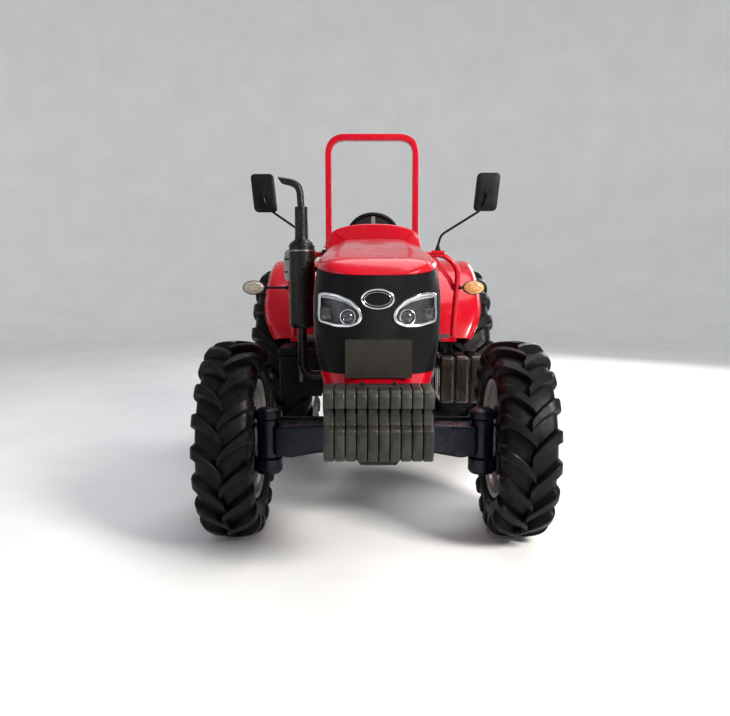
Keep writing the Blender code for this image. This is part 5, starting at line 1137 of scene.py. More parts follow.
def hand_rail(side_name, side):
    """The tube: out from the cowl, down its slope and onto the platform, with its flanges."""
    path = bent([(0.3052, -0.060, 1.562), (0.470, -0.060, 1.562), (0.565, -0.060, 1.472),
                 (0.541, 0.0, 1.058), (0.541, 0.0, 0.9985)], 0.07, 10)
    rail = tube(path, disc(0.0178, 24), up=(0, 1, 0))
    flange = lathe([(0, 0), (0, 0.030), (0.005, 0.030), (0.007, 0.027), (0.007, 0)],
                   (0.3053, -0.060, 1.562), (1, 0, 0), 32)
    pad = block((0.385, -0.088, 1.566), (0.470, -0.032, 1.5865), 0.004)
    brace = tube([(0.386, -0.060, 1.556), (0.505, -0.034, 1.405), (0.546, -0.018, 1.325)],
                 oblong((-0.0022, -0.016), (0.0022, 0.016), 0.001), up=(1, 0, 0))
    foot = block((0.517, -0.026, 0.9984), (0.565, 0.026, 1.008), 0.003)
    nuts = together(*[bolt((x, y, 1.0075), (0, 0, 1), 0.007, 0.006) for x,
                      y in ((0.525, -0.018), (0.557, 0.018))])
    shapes = [(rail, 0), (flange, 0), (pad, 0), (brace, 0), (foot, 0), (nuts, 1)]
    return piece(f"rail_{side_name}", "root", shapes, [red, steel], side, smooth=40,
                 stands_for=(f"hand_rail_{side_name}",))


def mirror(side_name, side, out, high):
    """A rounded, slightly leaning shell that swells towards its back, its glass in a rim that
    faces the driver, a ball clamp, and the bent arm. Its middle is out metres off the middle."""
    back = -0.060 - 0.012 - 0.010
    path = bent([(0.427, -0.060, 1.5865), (0.427, -0.060, 1.620), (0.447, -0.060, 1.689),
                 (out - 0.045, -0.060, 1.846),
                 (out - 0.014, back - 0.024, high - 0.070),
                 (out - 0.001, back - 0.024, high - 0.030), (out, back - 0.006, high - 0.004)],
                0.030, 8)
    arm = tube(path, disc(0.0080, 16), up=(0, 1, 0))
    boot = lathe([(0, 0), (0, 0.019), (0.010, 0.019), (0.014, 0.014), (0.034, 0.0105),
                  (0.036, 0.007), (0.036, 0)],
                 (0.427, -0.060, 1.5864), (0, 0, 1), 28)
    line = oblong((-0.0765, -0.124), (0.0765, 0.124), 0.034, 8)
    lean = np.array([[1, 0], [0.10, 1]])
    line = line @ lean + (out, high)
    levels = [(0.0085, 0.0015), (0.013, 0.0), (0.020, 0.0), (0.0235, 0.002), (0.0235, 0.0055),
              (0.0205, 0.0065)]
    rings = [set_along(inset(line, i), "Y", back + y) for y, i in levels]
    middle = line.mean(axis=0)
    swell = [set_along(middle + (line - middle) * share, "Y", back + 0.0085
                       - 0.0105 * (1 - share**4) ** 0.6)
             for share in (0.05, 0.3, 0.5, 0.68, 0.82, 0.92, 0.975)]
    shell = skin(np.stack(swell + rings), wrap_columns=True, ends=True)
    glass = slab(inset(line, 0.0072), "Y", back + 0.015, back + 0.0222, 0.001)
    clamp = lathe([(0, 0), (0, 0.017), (0.010, 0.021), (0.018, 0.017), (0.018, 0)],
                  (out, back - 0.013, high - 0.006),
                  (0, 1, 0), 28)
    shapes = [(arm, 0), (boot, 1), (shell, 1), (clamp, 1), (glass, 2)]
    return piece(f"mirror_unit_{side_name}", "root", shapes,
                 [black, moulded, mirror_glass], side, smooth=45,
                 stands_for=(f"mirror_{side_name}",))


def side_lamp(side_name, side, lamp_x, lens):
    """An oval lens on each face of a dark ring, on its stalk with a rubber boot."""
    y, z = -0.060 + 0.060 * (1.472 - 1.341) / (1.472 - 1.058), 1.341
    x = abs(lamp_x)
    start = 0.565 - 0.024 * (1.472 - 1.341) / (1.472 - 1.058) + 0.0158
    stalk = tube([(start, y, z), (x - 0.064, y, z)], disc(0.0078, 16), up=(0, 0, 1))
    boot = lathe([(0, 0), (0, 0.015), (0.006, 0.016), (0.010, 0.012), (0.022, 0.010), (0.022, 0)],
                 (start, y, z),
                 (1, 0, 0), 24)
    line = disc(1.0, 56) * (0.074, 0.048) + (x, z)
    ring = slab(line, "Y", y - 0.012, y + 0.012, 0.004)
    lenses = []
    for facing in (-1, 1):
        drop = np.linspace(0, math.pi / 2, 9)
        rings = [set_along(inset(line, 0.004) * (math.cos(a))
                           + np.array([x, z]) * (1 - math.cos(a)), "Y",
                           y + facing * (0.010 + 0.020 * math.sin(a))) for a in drop[:-1]]
        lenses.append(skin(np.stack([set_along(inset(line, 0.004), "Y", y)] + rings),
                           wrap_columns=True, ends=True))
    shapes = [(stalk, 0), (boot, 0), (ring, 0), (together(*lenses), 1)]
    return piece(f"position_lamp_{side_name}", "root", shapes, [moulded, lens], side,
                 smooth=45, stands_for=(f"side_lamp_{side_name}",))


# ---- Steering wheel, seat and controls --------------------------------------------------
TILT = math.radians(60)
STEER_AXIS = np.array([0.0, math.sin(TILT), math.cos(TILT)])
STEER_AT = np.array([0.0, 0.310, 1.693])


def steering_wheel():
    """A rim with finger swells on its underside, three pressed spokes and a domed hub."""
    _, across, up = axes_for(STEER_AXIS)
    turn = np.arange(144) / 144 * TAU
    radial = np.cos(turn)[:, None] * across + np.sin(turn)[:, None] * up
    path = STEER_AT + 0.178 * radial
    swell = 1.0 + 0.035 * np.cos(turn * 48)
    grip = tube(path, disc(0.0132, 16), up=STEER_AXIS, scale=swell, closed=True)
    spokes = []
    for angle in (math.radians(90), math.radians(210), math.radians(330)):
        out = math.cos(angle) * across + math.sin(angle) * up
        line = STEER_AT + np.outer(np.linspace(0.030, 0.176, 12), out) - np.outer(
            0.008 * np.cos(np.linspace(0, math.pi / 2, 12)), STEER_AXIS)
        spokes.append(tube(line, oblong((-0.0165, -0.0045), (0.0165, 0.0045), 0.004),
                           up=STEER_AXIS,
                           scale=np.linspace(1.25, 0.75, 12)))
    hub = lathe(smoothed([(-0.0215, 0), (-0.0215, 0.046), (-0.010, 0.052), (0.008, 0.056),
                          (0.016, 0.046),
                          (0.018, 0.0)], 2), STEER_AT, STEER_AXIS, 56)
    cap = lathe([(0.012, 0), (0.012, 0.034), (0.0185, 0.033), (0.0200, 0.030), (0.0205, 0)],
                STEER_AT, STEER_AXIS, 48)
    dish = lathe(smoothed([(-0.016, 0.030), (-0.014, 0.080), (-0.006, 0.130), (0.002, 0.172),
                           (0.006, 0.172),
                           (-0.002, 0.128), (-0.010, 0.078), (-0.012, 0.030)], 2), STEER_AT,
                 STEER_AXIS, 72, closed=True)
    return piece("steering_ring", "steering_wheel", [(grip, 0), (together(*spokes), 1), (hub, 0),
                                                     (cap, 1), (dish, 2)],
                 [moulded, canister, wheel_grey], smooth=45, stands_for=("steering_wheel",))


def steering_column():
    start = STEER_AT - 0.34 * STEER_AXIS
    profile = [(0.0, 0.0), (0.0, 0.0295), (0.070, 0.0295), (0.074, 0.034), (0.080, 0.034),
               (0.084, 0.0295), (0.27, 0.0285),
               (0.290, 0.0238), (0.317, 0.0236), (0.317, 0.0)]
    tube_part = lathe(profile, start, STEER_AXIS, 40)
    ribs = together(*[lathe([(a, 0.024), (a + 0.002, 0.0305), (a + 0.006, 0.0305),
                             (a + 0.008, 0.024)], start,
                            STEER_AXIS, 40, closed=True) for a in (0.10, 0.114, 0.128, 0.142)])
    stalk = tube(bent([STEER_AT - 0.075 * STEER_AXIS + (0.02, 0, 0), STEER_AT - 0.070 * STEER_AXIS
                       + (0.10, 0, 0),
                       STEER_AT - 0.062 * STEER_AXIS + (0.150, 0, 0)], 0.02), disc(0.0048, 12),
                 up=STEER_AXIS)
    return piece("column_tube", "root", [(tube_part, 0), (ribs, 1), (stalk, 1)], [black, moulded],
                 smooth=40,
                 stands_for=("steering_column",))


def seat_pad(name, node, upright, corner_low, corner_high):
    """A padded seat part grown by cloth under pressure from a slightly smaller block, with
    sewn channels and seam lines pressed across its face."""
    low, high = np.array(corner_low), np.array(corner_high)
    middle, half = (low + high) / 2, (high - low) / 2 - 0.006
    n = 29
    s, t = np.meshgrid(np.linspace(-1, 1, n), np.linspace(-1, 1, n), indexing="ij")
    full = np.sqrt(np.clip(1 - s**8, 0, 1)) * np.sqrt(np.clip(1 - t**8, 0, 1))
    pull_s = 1 - 0.020 * np.cos(t * math.pi / 2) * s**2
    pull_t = 1 - 0.020 * np.cos(s * math.pi / 2) * t**2
    out = []
    for sign in (1, -1):
        thick = 0.30 + 0.70 * full if sign > 0 else 0.80 + 0.20 * full
        out.append(np.stack([s * pull_t, t * pull_s, sign * thick], axis=-1))
    top, under = out
    rim = np.linspace(0, 1, 4)[1:-1]
    edge_top = np.concatenate([top[0, :-1], top[:-1, -1], top[-1, :0:-1], top[:0:-1, 0]])
    edge_low = np.concatenate([under[0, :-1], under[:-1, -1], under[-1, :0:-1], under[:0:-1, 0]])
    wall = skin(np.stack([edge_top] + [edge_top * (1 - k) + edge_low * k for k in rim]
                         + [edge_low]), wrap_columns=True)
    shape = together(skin(top), skin(under), wall)
    order = (0, 2, 1) if upright else (0, 1, 2)
    local = shape[0][:, order] * half
    if upright:
        local = local * (1, -1, 1)
        local[:, 1] += 0.10 * (local[:, 2])
    obj = piece(name, "root", [((local + middle, shape[1], shape[2]), 0)], [vinyl], smooth=60,
                stands_for=(node,),
                merge=0.0005)
    swell_pad(obj)
    sew_pad(obj, upright, middle, half)
    return obj


def swell_pad(obj, cap=0.007):
    """Cloth under pressure for twenty frames, no point moving further than the cap."""
    bpy.context.view_layer.objects.active = obj
    remesh = obj.modifiers.new("even", "REMESH")
    remesh.mode, remesh.voxel_size = "VOXEL", 0.006
    run_modifier(obj, remesh)
    start = points_of(obj.data)
    cloth = obj.modifiers.new("swell", "CLOTH")
    cloth.settings.quality = 6
    cloth.settings.use_pressure = True
    cloth.settings.uniform_pressure_force = 4.0
    cloth.settings.effector_weights.gravity = 0.0
    scene = bpy.context.scene
    for number in range(1, 21):
        scene.frame_set(number)
    run_modifier(obj, cloth)
    scene.frame_set(1)
    moved = points_of(obj.data) - start
    far = np.linalg.norm(moved, axis=1)[:, None]
    put_points(obj.data, start + moved * np.minimum(1.0, cap / np.maximum(far, 1e-9)))
    smooth = obj.modifiers.new("ease", "SMOOTH")
    smooth.factor, smooth.iterations = 0.5, 4
    run_modifier(obj, smooth)
    finer = obj.modifiers.new("finer", "SUBSURF")
    finer.levels = finer.render_levels = 1
    run_modifier(obj, finer)


def run_modifier(obj, modifier):
    with bpy.context.temp_override(object=obj, active_object=obj, selected_objects=[obj]):
        bpy.ops.object.modifier_apply(modifier=modifier.name)


def points_of(mesh):
    co = np.empty(len(mesh.vertices) * 3)
    mesh.vertices.foreach_get("co", co)
    return co.reshape(-1, 3)


def put_points(mesh, points):
    mesh.vertices.foreach_set("co", points.ravel())
    mesh.update()


def sew_pad(obj, upright, middle, half):
    """Presses three channels into the face, 5 mm deep with round flanks, and a seam line
    9 mm inside its edge."""
    points = points_of(obj.data)
    at = points - middle
    side, length = at[:, 0] / half[0], at[:, 2 if upright else 1] / half[2 if upright else 1]
    normal = (0, -1, 0.10) if upright else (0, 0, 1)
    out = at @ np.array(normal) > 0.2 * half[1 if upright else 2]
    deep = np.zeros(len(points))
    for place_at in (-0.45, 0.0, 0.45):
        deep += 0.0055 * np.exp(-(((length - place_at) * half[2 if upright
                                                              else 1]) / 0.0055) ** 2) * (np.abs(side) < 0.72)
    for place_at in (-0.74, 0.74):
        deep += 0.0050 * np.exp(-(((side - place_at) * half[0]) / 0.0055) ** 2)
    points -= np.outer(deep * out, normal)
    put_points(obj.data, points)
    obj.data.shade_smooth()


def pedals_and_levers():
    """Pedals with ribbed pads on bent arms, then two levers with knobs and gaiters."""
    y, z = 0.100, 1.060
    shaft = tube([(-0.28, y, z), (0.28, y, z)], disc(0.0098, 20), up=(0, 0, 1))
    arms, pads = [], []
    for x in (-0.25, -0.15, 0.24):
        path = bent([(x, y, z), (x, y + 0.06, z + 0.10), (x, y + 0.05, z + 0.17)], 0.04)
        arms.append(tube(path, oblong((-0.006, -0.010), (0.006, 0.010), 0.003), up=(0, 1, 0)))
        pads.append(block((x - 0.040, y + 0.035, z + 0.155), (x + 0.040, y + 0.075, z + 0.172),
                          0.005))
        pads += [block((x - 0.036 + 0.012 * k, y + 0.038, z + 0.170),
                       (x - 0.030 + 0.012 * k, y + 0.072, z + 0.1750), 0.0015)
                 for k in range(6)]
    holders = [block((x - 0.010, y - 0.020, 0.9984), (x + 0.010, y + 0.020, z + 0.018), 0.004)
               for x in (-0.20, 0.19)]
    piece("pedal_set", "root", [(shaft, 0), (together(*arms), 0), (together(*pads), 1),
                                (together(*holders), 0)],
          [black, moulded], smooth=40, stands_for=("pedals",))
    y, z = 0.490, 0.9984
    console = block((-0.11, y - 0.06, z), (0.11, y + 0.06, z + 0.050), 0.014)
    parts = [(console, 1)]
    for side in (1, -1):
        path = bent([(side * 0.06, y, z + 0.030), (side * 0.07, y - 0.015, z + 0.20),
                     (side * 0.10, y - 0.005, z + 0.33)], 0.08)
        parts.append((tube(path, disc(0.0062, 14), up=(0, 1, 0)), 0))
        gaiter = [(0.0, 0.034), (0.006, 0.030), (0.010, 0.032), (0.016, 0.024), (0.020, 0.026),
                  (0.028, 0.017),
                  (0.032, 0.019), (0.042, 0.010), (0.050, 0.008), (0.050, 0), (0, 0)]
        parts.append((lathe(gaiter, (side * 0.061, y - 0.001, z + 0.048), (side * 0.05, -0.08, 1),
                            32), 1))
        knob = smoothed([(0, 0), (0.0, 0.012), (0.012, 0.022), (0.028, 0.0235), (0.042, 0.014),
                         (0.045, 0.0)], 2)
        parts.append((lathe(knob, (side * 0.098, y - 0.005, z + 0.325), (0, 0, 1), 32), 1))
    piece("lever_console", "root", parts, [steel, moulded], smooth=45,
          stands_for=("shift_levers",))


front_weights()
dash_cowl()
steering_wheel()
steering_column()
pedals_and_levers()
seat_pad("cushion_pad", "seat_cushion", False, (-0.235, 0.58, 1.2402), (0.235, 0.995, 1.340))
seat_pad("back_pad", "seat_back", True, (-0.225, 0.974, 1.352), (0.225, 1.056, 1.740))
for side_name, side in SIDES:
    hand_rail(side_name, side)
    mirror(side_name, side, *((0.745, 1.968) if side > 0 else (0.721, 1.960)))
side_lamp("left", 1, 0.672, amber)
# the right lamp gets the greyer copy of the bead lens: painted shade
side_lamp("right", -1, -0.803, beads_painted_shade)


# ---- Exhaust, air cleaner, tank and battery ---------------------------------------------
def oblique(shape):
    """The tail pipe's last 60 mm leaned so that its mouth is cut back underneath."""
    points = shape[0].copy()
    share = np.clip((-0.462 - points[:, 0]) / 0.060, 0, 1)
    points[:, 0] -= 0.9 * share * (points[:, 2] - 1.940)
    return points, shape[1], shape[2]


def muffler():
    """The silencer can with rolled seams and a strap, its neck and bent tail with an oblique
    mouth, and the pipe down to the engine."""
    at = (-0.405, -0.90, 1.135)
    can = lathe(smoothed([(0, 0), (0, 0.050), (0.004, 0.062), (0.018, 0.0690), (0.030, 0.0700),
                          (0.200, 0.0700),
                          (0.446, 0.0700), (0.458, 0.0690), (0.468, 0.062), (0.484, 0.040),
                          (0.490, 0.0362),
                          (0.560, 0.0362), (0.655, 0.0362), (0.664, 0.0355), (0.664, 0.0)], 2), at,
                (0, 0, 1), 56)
    seams = together(*[lathe([(a - 0.004, 0.069), (a - 0.002, 0.0722), (a + 0.002, 0.0722),
                              (a + 0.004, 0.069)], at,
                             (0, 0, 1), 56, closed=True) for a in (0.026, 0.450)])
    strap = lathe([(0.421, 0.0695), (0.421, 0.0722), (0.429, 0.0722), (0.429, 0.0695)], at,
                  (0, 0, 1), 56, closed=True)
    path = bent([(-0.405, -0.90, 1.770), (-0.405, -0.90, 1.790), (-0.414, -0.90, 1.920),
                 (-0.522, -0.90, 1.940)], 0.12, 14)
    tail = oblique(tube(path, disc(0.0200, 28), up=(0, 1, 0)))
    mouth = oblique(lathe([(-0.004, 0.0), (-0.004, 0.0165), (0.0006, 0.0165), (0.0006, 0.0)],
                          path[-1],
                          path[-1] - path[-2], 28))
    inlet = tube(bent([(-0.405, -0.90, 1.165), (-0.405, -0.90, 0.872), (-0.1905, -0.90, 0.872)],
                      0.075, 10),
                 disc(0.0248, 24), up=(0, 1, 0))
    flange = slab(oblong((-0.945, 0.833), (-0.855, 0.911), 0.016), "X", -0.2020, -0.1903, 0.002)
    nuts = together(*[bolt((-0.2015, y, 0.872), (-1, 0, 0), 0.009, 0.008)
                      for y in (-0.934, -0.866)])
    shapes = [(can, 0), (seams, 0), (strap, 2), (tail, 0), (mouth, 1), (inlet, 0), (flange, 3),
              (nuts, 2)]
    return piece("exhaust_stack", "root", shapes, [heat_black, rust, steel, dark], smooth=45,
                 stands_for=("muffler",))


def air_cleaner():
    """The canister with its end cap, bands and clips, on its strap with a pad and nuts."""
    x, y = -0.457, -0.70
    can = lathe(smoothed([(0, 0), (0, 0.050), (0.004, 0.060), (0.016, 0.0665), (0.045, 0.0670),
                          (0.150, 0.0670),
                          (0.168, 0.062), (0.185, 0.046), (0.185, 0.0)], 2), (x, y, 1.392),
                (0, 0, 1), 56)
    bands = together(*[lathe([(a, 0.0655), (a, 0.0690), (a + 0.010, 0.0690), (a + 0.010, 0.0655)],
                             (x, y, 1.392),
                             (0, 0, 1), 56, closed=True) for a in (0.048, 0.120)])
    clips = around(block((x - 0.006, y + 0.064, 1.428), (x + 0.006, y + 0.073, 1.462), 0.0025), 3,
                   np.array([x, y, 1.392]), (0, 0, 1), 0.5)
    strap = tube([(x + 0.050, y, 1.46), (-0.3355, y + 0.09, 1.46), (-0.3355, -0.205, 1.52),
                  (-0.3355, -0.115, 1.56)],
                 oblong((-0.003, -0.015), (0.003, 0.015), 0.0015), up=(0, 0, 1))
    pad = block((-0.339, -0.145, 1.530), (-0.3053, -0.105, 1.590), 0.004)
    nuts = together(*[bolt((-0.3385, -0.125, z), (-1, 0, 0), 0.008, 0.007)
                      for z in (1.547, 1.573)])
    return piece("cleaner_canister", "root", [(can, 0), (bands, 1), (clips, 2), (strap, 1),
                                              (pad, 1), (nuts, 2)],
                 [canister, black, steel], smooth=42, stands_for=("air_cleaner",))


def fuel_tank():
    """The moulded tank: three rounded upright lobes side by side round a slightly smaller
    core, with straps, hangers and a ribbed cap."""
    low, high = np.array([0.456, -0.020, 0.548]), np.array([0.760, 0.325, 0.874])
    wide, gap = 0.0990, 0.0035
    core = block(low + (0.020, 0.014, 0.014), high - (0.020, 0.014, 0.014), 0.030)
    lobes = [block((low[0] + k * (wide + gap), low[1], low[2]),
                   (low[0] + k * (wide + gap) + wide, high[1], high[2]),
                   0.026, steps=7) for k in range(3)]
    body = together(core, *lobes)
    hangers = together(block((0.486, 0.070, 0.858), (0.545, 0.110, 0.9735), 0.004),
                       block((0.486, 0.230, 0.858), (0.545, 0.270, 0.9735), 0.004))
    straps = []
    for y in (0.090, 0.250):
        ring = oblong((0.4545, 0.5465), (0.7615, 0.8755), 0.056, 10)
        path = np.stack([ring[:, 0], np.full(len(ring), y), ring[:, 1]], axis=-1)
        straps.append(tube(path, oblong((-0.0012, -0.014), (0.0012, 0.014), 0.0008, 2),
                           up=(0, 1, 0), closed=True))
    cap_at = (0.670, 0.070, 0.870)
    cap = lathe([(0, 0), (0, 0.038), (0.014, 0.038), (0.016, 0.036), (0.036, 0.0345),
                 (0.039, 0.031), (0.039, 0)], cap_at,
                (0, 0, 1), 48)
    ribs = around(block((cap_at[0] - 0.0016, cap_at[1] + 0.034, 0.888),
                        (cap_at[0] + 0.0016, cap_at[1] + 0.0375, 0.905), 0.001),
                  24, np.array(cap_at), (0, 0, 1))
    return piece("side_tank", "root", [(body, 0), (hangers, 1), (together(*straps), 1), (cap, 2),
                                       (ribs, 2)],
                 [brown, black, moulded], smooth=35, stands_for=("fuel_tank",))


def battery_box():
    """The battery box: a lidded case with a lip, pressed panels, a latch strap, a hanger and a handle."""
    case = block((-0.640, -0.035, 0.600), (-0.350, 0.325, 0.880), 0.012)
    lid = block((-0.645, -0.0405, 0.880), (-0.345, 0.3295, 0.9345), 0.014)
    panel = slab(oblong((-0.615, 0.640), (-0.530, 0.850), 0.012), "Y", -0.0385, -0.030, 0.003)
    other = slab(oblong((-0.460, 0.640), (-0.375, 0.850), 0.012), "Y", -0.0385, -0.030, 0.003)
    strap = block((-0.502, -0.0440, 0.700), (-0.478, -0.030, 0.905), 0.003, "Y")
    buckle = block((-0.508, -0.0465, 0.792), (-0.472, -0.038, 0.830), 0.003, "Y")
    hanger = block((-0.540, 0.015, 0.925), (-0.370, 0.185, 0.9735), 0.006)
    grip = tube(bent([(-0.6385, 0.08, 0.790), (-0.652, 0.08, 0.790), (-0.652, 0.21, 0.790),
                      (-0.6385, 0.21, 0.790)], 0.012, 5),
                disc(0.0045, 12), up=(0, 0, 1))
    return piece("battery_case", "root", [(case, 0), (lid, 0), (panel, 0), (other, 0), (strap, 1),
                                          (buckle, 1),
                                          (hanger, 0), (grip, 1)], [moulded, steel], smooth=35,
                 stands_for=("battery_box",))


# ---- Operator's station -----------------------------------------------------------------
def platform():
    line = np.array([(0.320, -0.195), (0.320, -0.015), (0.565, -0.015), (0.565, 0.3130),
                     (0.4257, 0.3130),
                     (0.4257, 1.040), (-0.4257, 1.040), (-0.4257, 0.3130), (-0.565, 0.3130),
                     (-0.565, -0.015),
                     (-0.320, -0.015), (-0.320, -0.195)])
    plate = slab(line, "Z", 0.974, 0.998, 0.003, 2)
    lips = []
    for side in (1, -1):
        nose = block((0.462, -0.0185, 0.9735), (0.564, -0.010, 0.9985), 0.003)
        lips.append(on_side(nose, side))
    screws = together(*[lathe([(0, 0), (0, 0.010), (0.0015, 0.009), (0.0030, 0.004), (0.0030, 0)],
                              (x, y, 0.9978), (0, 0, 1), 20)
                        for x in (-0.35, 0.35) for y in (0.06, 0.27, 0.60, 0.90)])
    return piece("floor_plate", "root", [(plate, 0), (together(*lips), 1), (screws, 2)],
                 [mat, red, steel], smooth=35,
                 stands_for=("platform",))


def taper(angle):
    """The share of its width that a mudguard has: it narrows towards its front foot."""
    return 0.985 - 0.23 * np.clip((math.radians(40) - angle) / math.radians(23), 0, 1) ** 2


def fender(side_name, side):
    """A mudguard: the section (x, radius) carried round the rear axle from 17 to 142 degrees,
    5 mm outside the arch at its rolled edge, with a wall beside the driver and a grip."""
    angle = np.radians(np.linspace(17.0, 142.0, 96))
    low = np.clip((0.958 - 0.733669) / np.sin(angle), 0.185, 0.710)
    arch = smoothed([(0.430, 0.752), (0.432, 0.786), (0.446, 0.805), (0.490, 0.8095),
                     (0.745, 0.8060), (0.786, 0.794),
                     (0.803, 0.766), (0.812, 0.742), (0.8150, 0.735)], 3)
    wall = np.linspace(0, 1, 14)[:, None, None]
    inner_x = np.full(len(angle), 0.430)
    low_points = np.stack([inner_x, low], axis=-1)[None] * (1 - wall) + np.stack(
        [inner_x, np.full(len(angle), 0.752)], axis=-1)[None] * wall
    section = np.concatenate([low_points[:-1], np.broadcast_to(arch[:, None],
                                                               (len(arch), len(angle), 2))])
    x, radius = section[..., 0], section[..., 1]
    bead = 0.0035 * np.exp(-((x - 0.620) / 0.010) ** 2) * (radius > 0.76)
    radius = radius + bead
    x = 0.430 + (x - 0.430) * taper(angle)
    points = np.stack([x, 1.10 - radius * np.cos(angle), 0.733669 + radius * np.sin(angle)],
                      axis=-1)
    shell = walled(points, -0.004 if orientation(points) > 0 else 0.004)
    edge_angle = np.radians(np.linspace(17.0, 142.0, 72))
    roll = np.stack([0.430 + 0.384 * taper(edge_angle), 1.10 - 0.7350 * np.cos(edge_angle),
                     0.733669 + 0.7350 * np.sin(edge_angle)], axis=-1)
    rolled = tube(roll, disc(0.0048, 10), up=(1, 0, 0))
    front = points[:, 0]
    first = tube(front[16:], disc(0.0042, 10), up=(0, 1, 0.3))
    last = tube(points[16:, -1], disc(0.0042, 10), up=(0, 1, 0.3))
    grip = tube(bent([(0.500, 0.930, 1.5265), (0.500, 0.930, 1.585), (0.500, 1.190, 1.585),
                      (0.500, 1.190, 1.5330)], 0.035, 8),
                disc(0.0095, 16), up=(1, 0, 0))
    shapes = [(shell, 0), (rolled, 0), (first, 0), (last, 0), (grip, 1)]
    return piece(f"mudguard_{side_name}", "root", shapes,
                 [red, black], side, smooth=40, stands_for=(f"fender_{side_name}",))


def orientation(points):
    """Positive if the grid's normal points away from the rear axle."""
    a = points[-20, 40]
    normal = np.cross(points[-19, 40] - a, points[-20, 41] - a)
    return float(normal @ (a - (a[0], 1.10, 0.733669)))


def tail_lamp(side_name, side):
    """A rear lamp block with a red and an amber field, standing on the mudguard's rear slope."""
    angle = math.radians(122)
    at = np.array([0.640, 1.10 - 0.808 * math.cos(angle), 0.733669 + 0.808 * math.sin(angle)])
    out = np.array([0, -math.cos(angle), math.sin(angle)])
    down = np.array([0, math.sin(angle), math.cos(angle)]) * -1
    across = np.array([1.0, 0, 0])
    parts = []
    for (low, high, deep, edge, k) in (((-0.075, -0.045), (0.075, 0.045), 0.030, 0.008, 0),
                                       ((-0.068, -0.038), (0.010, 0.038), 0.038, 0.006, 1),
                                       ((0.016, -0.038), (0.068, 0.038), 0.038, 0.006, 2)):
        shape = slab(oblong(low, high, edge), "Z", -0.004, deep, 0.004)
        local = shape[0]
        parts.append(((at + local[:, :1] * across + local[:, 1:2] * down + local[:, 2:] * out,
                       shape[1], shape[2]), k))
    return piece(f"tail_lamp_{side_name}", "root", parts,
                 [moulded, red_lens, amber], side, smooth=40)


def rops():
    """The hoop: a rounded 40 x 80 mm section along a path with round corners, its sleeves,
    a bolted joint on each upright, and bolted feet."""
    low = 0.8180
    path = bent([(0.353, 1.10, low), (0.353, 1.10, 2.525), (-0.353, 1.10, 2.525),
                 (-0.353, 1.10, low)], 0.14, 16)
    section = oblong((-0.025, -0.040), (0.025, 0.040), 0.008, 4)
    hoop = tube(path, section, up=(0, 1, 0))
    parts, bolts = [], []
    for side in (1, -1):
        parts.append(on_side(block((0.308, 1.030, low + 0.0005), (0.408, 1.170, low + 0.014),
                                   0.005), side))
        sleeve = slab(oblong((0.332, 1.054), (0.384, 1.146), 0.010), "Z", low + 0.005, low + 0.100,
                      0.004)
        parts.append(on_side(sleeve, side))
        parts.append(on_side(block((0.335, 1.056, 1.610), (0.381, 1.144, 1.690), 0.008), side))
        bolts += [on_side(bolt((x, y, low + 0.0135), (0, 0, 1), 0.012, 0.011), side)
                  for x in (0.322, 0.394) for y in (1.040, 1.160)]
        bolts += [on_side(bolt((0.3815, y, 1.650), (1, 0, 0), 0.011, 0.010), side)
                  for y in (1.080, 1.120)]
    return piece("roll_hoop", "root", [(hoop, 0), (together(*parts), 0), (together(*bolts), 1)],
                 [red, steel], smooth=35,
                 stands_for=("rops",))


muffler()
air_cleaner()
fuel_tank()
battery_box()
platform()
rops()
for side_name, side in SIDES:
    fender(side_name, side)
    tail_lamp(side_name, side)


# ---- Front axle and engine detail -------------------------------------------------------
AXLE_Y, AXLE_Z = FRONT_AXLE
KINGPIN, LIP, ARM_LEVEL = 0.59, 0.112, 0.59038


def axle_beam():
    """The axle's casting: its outline from the front carried over its depth with rounded rims,
    a turned boss round each kingpin, and the cover of the differential with its bolts."""
    half = [(0.3068, 0.46338), (0.4644, 0.43538), (0.5528, 0.44938), (0.5528, 0.60738),
            (0.3068, 0.61938)]
    line = rounded(half + [(-x, z) for x, z in half[::-1]], 0.020, 5)
    beam = slab(line, "Y", AXLE_Y - 0.070, AXLE_Y + 0.070, 0.015, 5)
    profile = [(0, 0), (0, 0.022), (0.033, 0.022), (0.033, 0.060), (0.035, 0.062), (0.241, 0.062),
               (0.243, 0.060),
               (0.243, 0.022), (0.276, 0.022), (0.276, 0)]
    bosses = [on_side(lathe(profile, (KINGPIN, AXLE_Y, AXLE_Z - 0.138), (0, 0, 1), 56), side)
              for side in (1, -1)]
    centre = np.array([0, AXLE_Y + 0.040, AXLE_Z - 0.008])
    cover = lathe([(0, 0), (0, 0.079), (0.030, 0.079), (0.036, 0.072), (0.055, 0.066),
                   (0.055, 0.038), (0.11, 0.038),
                   (0.11, 0)], centre, (0, 1, 0), 56)
    bolts = around(bolt(centre + (0, 0.0295, 0.0725), (0, 1, 0), 0.0085, 0.007), 10, centre,
                   (0, 1, 0))
    return piece("axle_casting", "root", [(beam, 0), (together(*bosses), 0), (cover, 0),
                                          (bolts, 1)], [navy, steel],
                 smooth=35, stands_for=("front_axle_beam",))


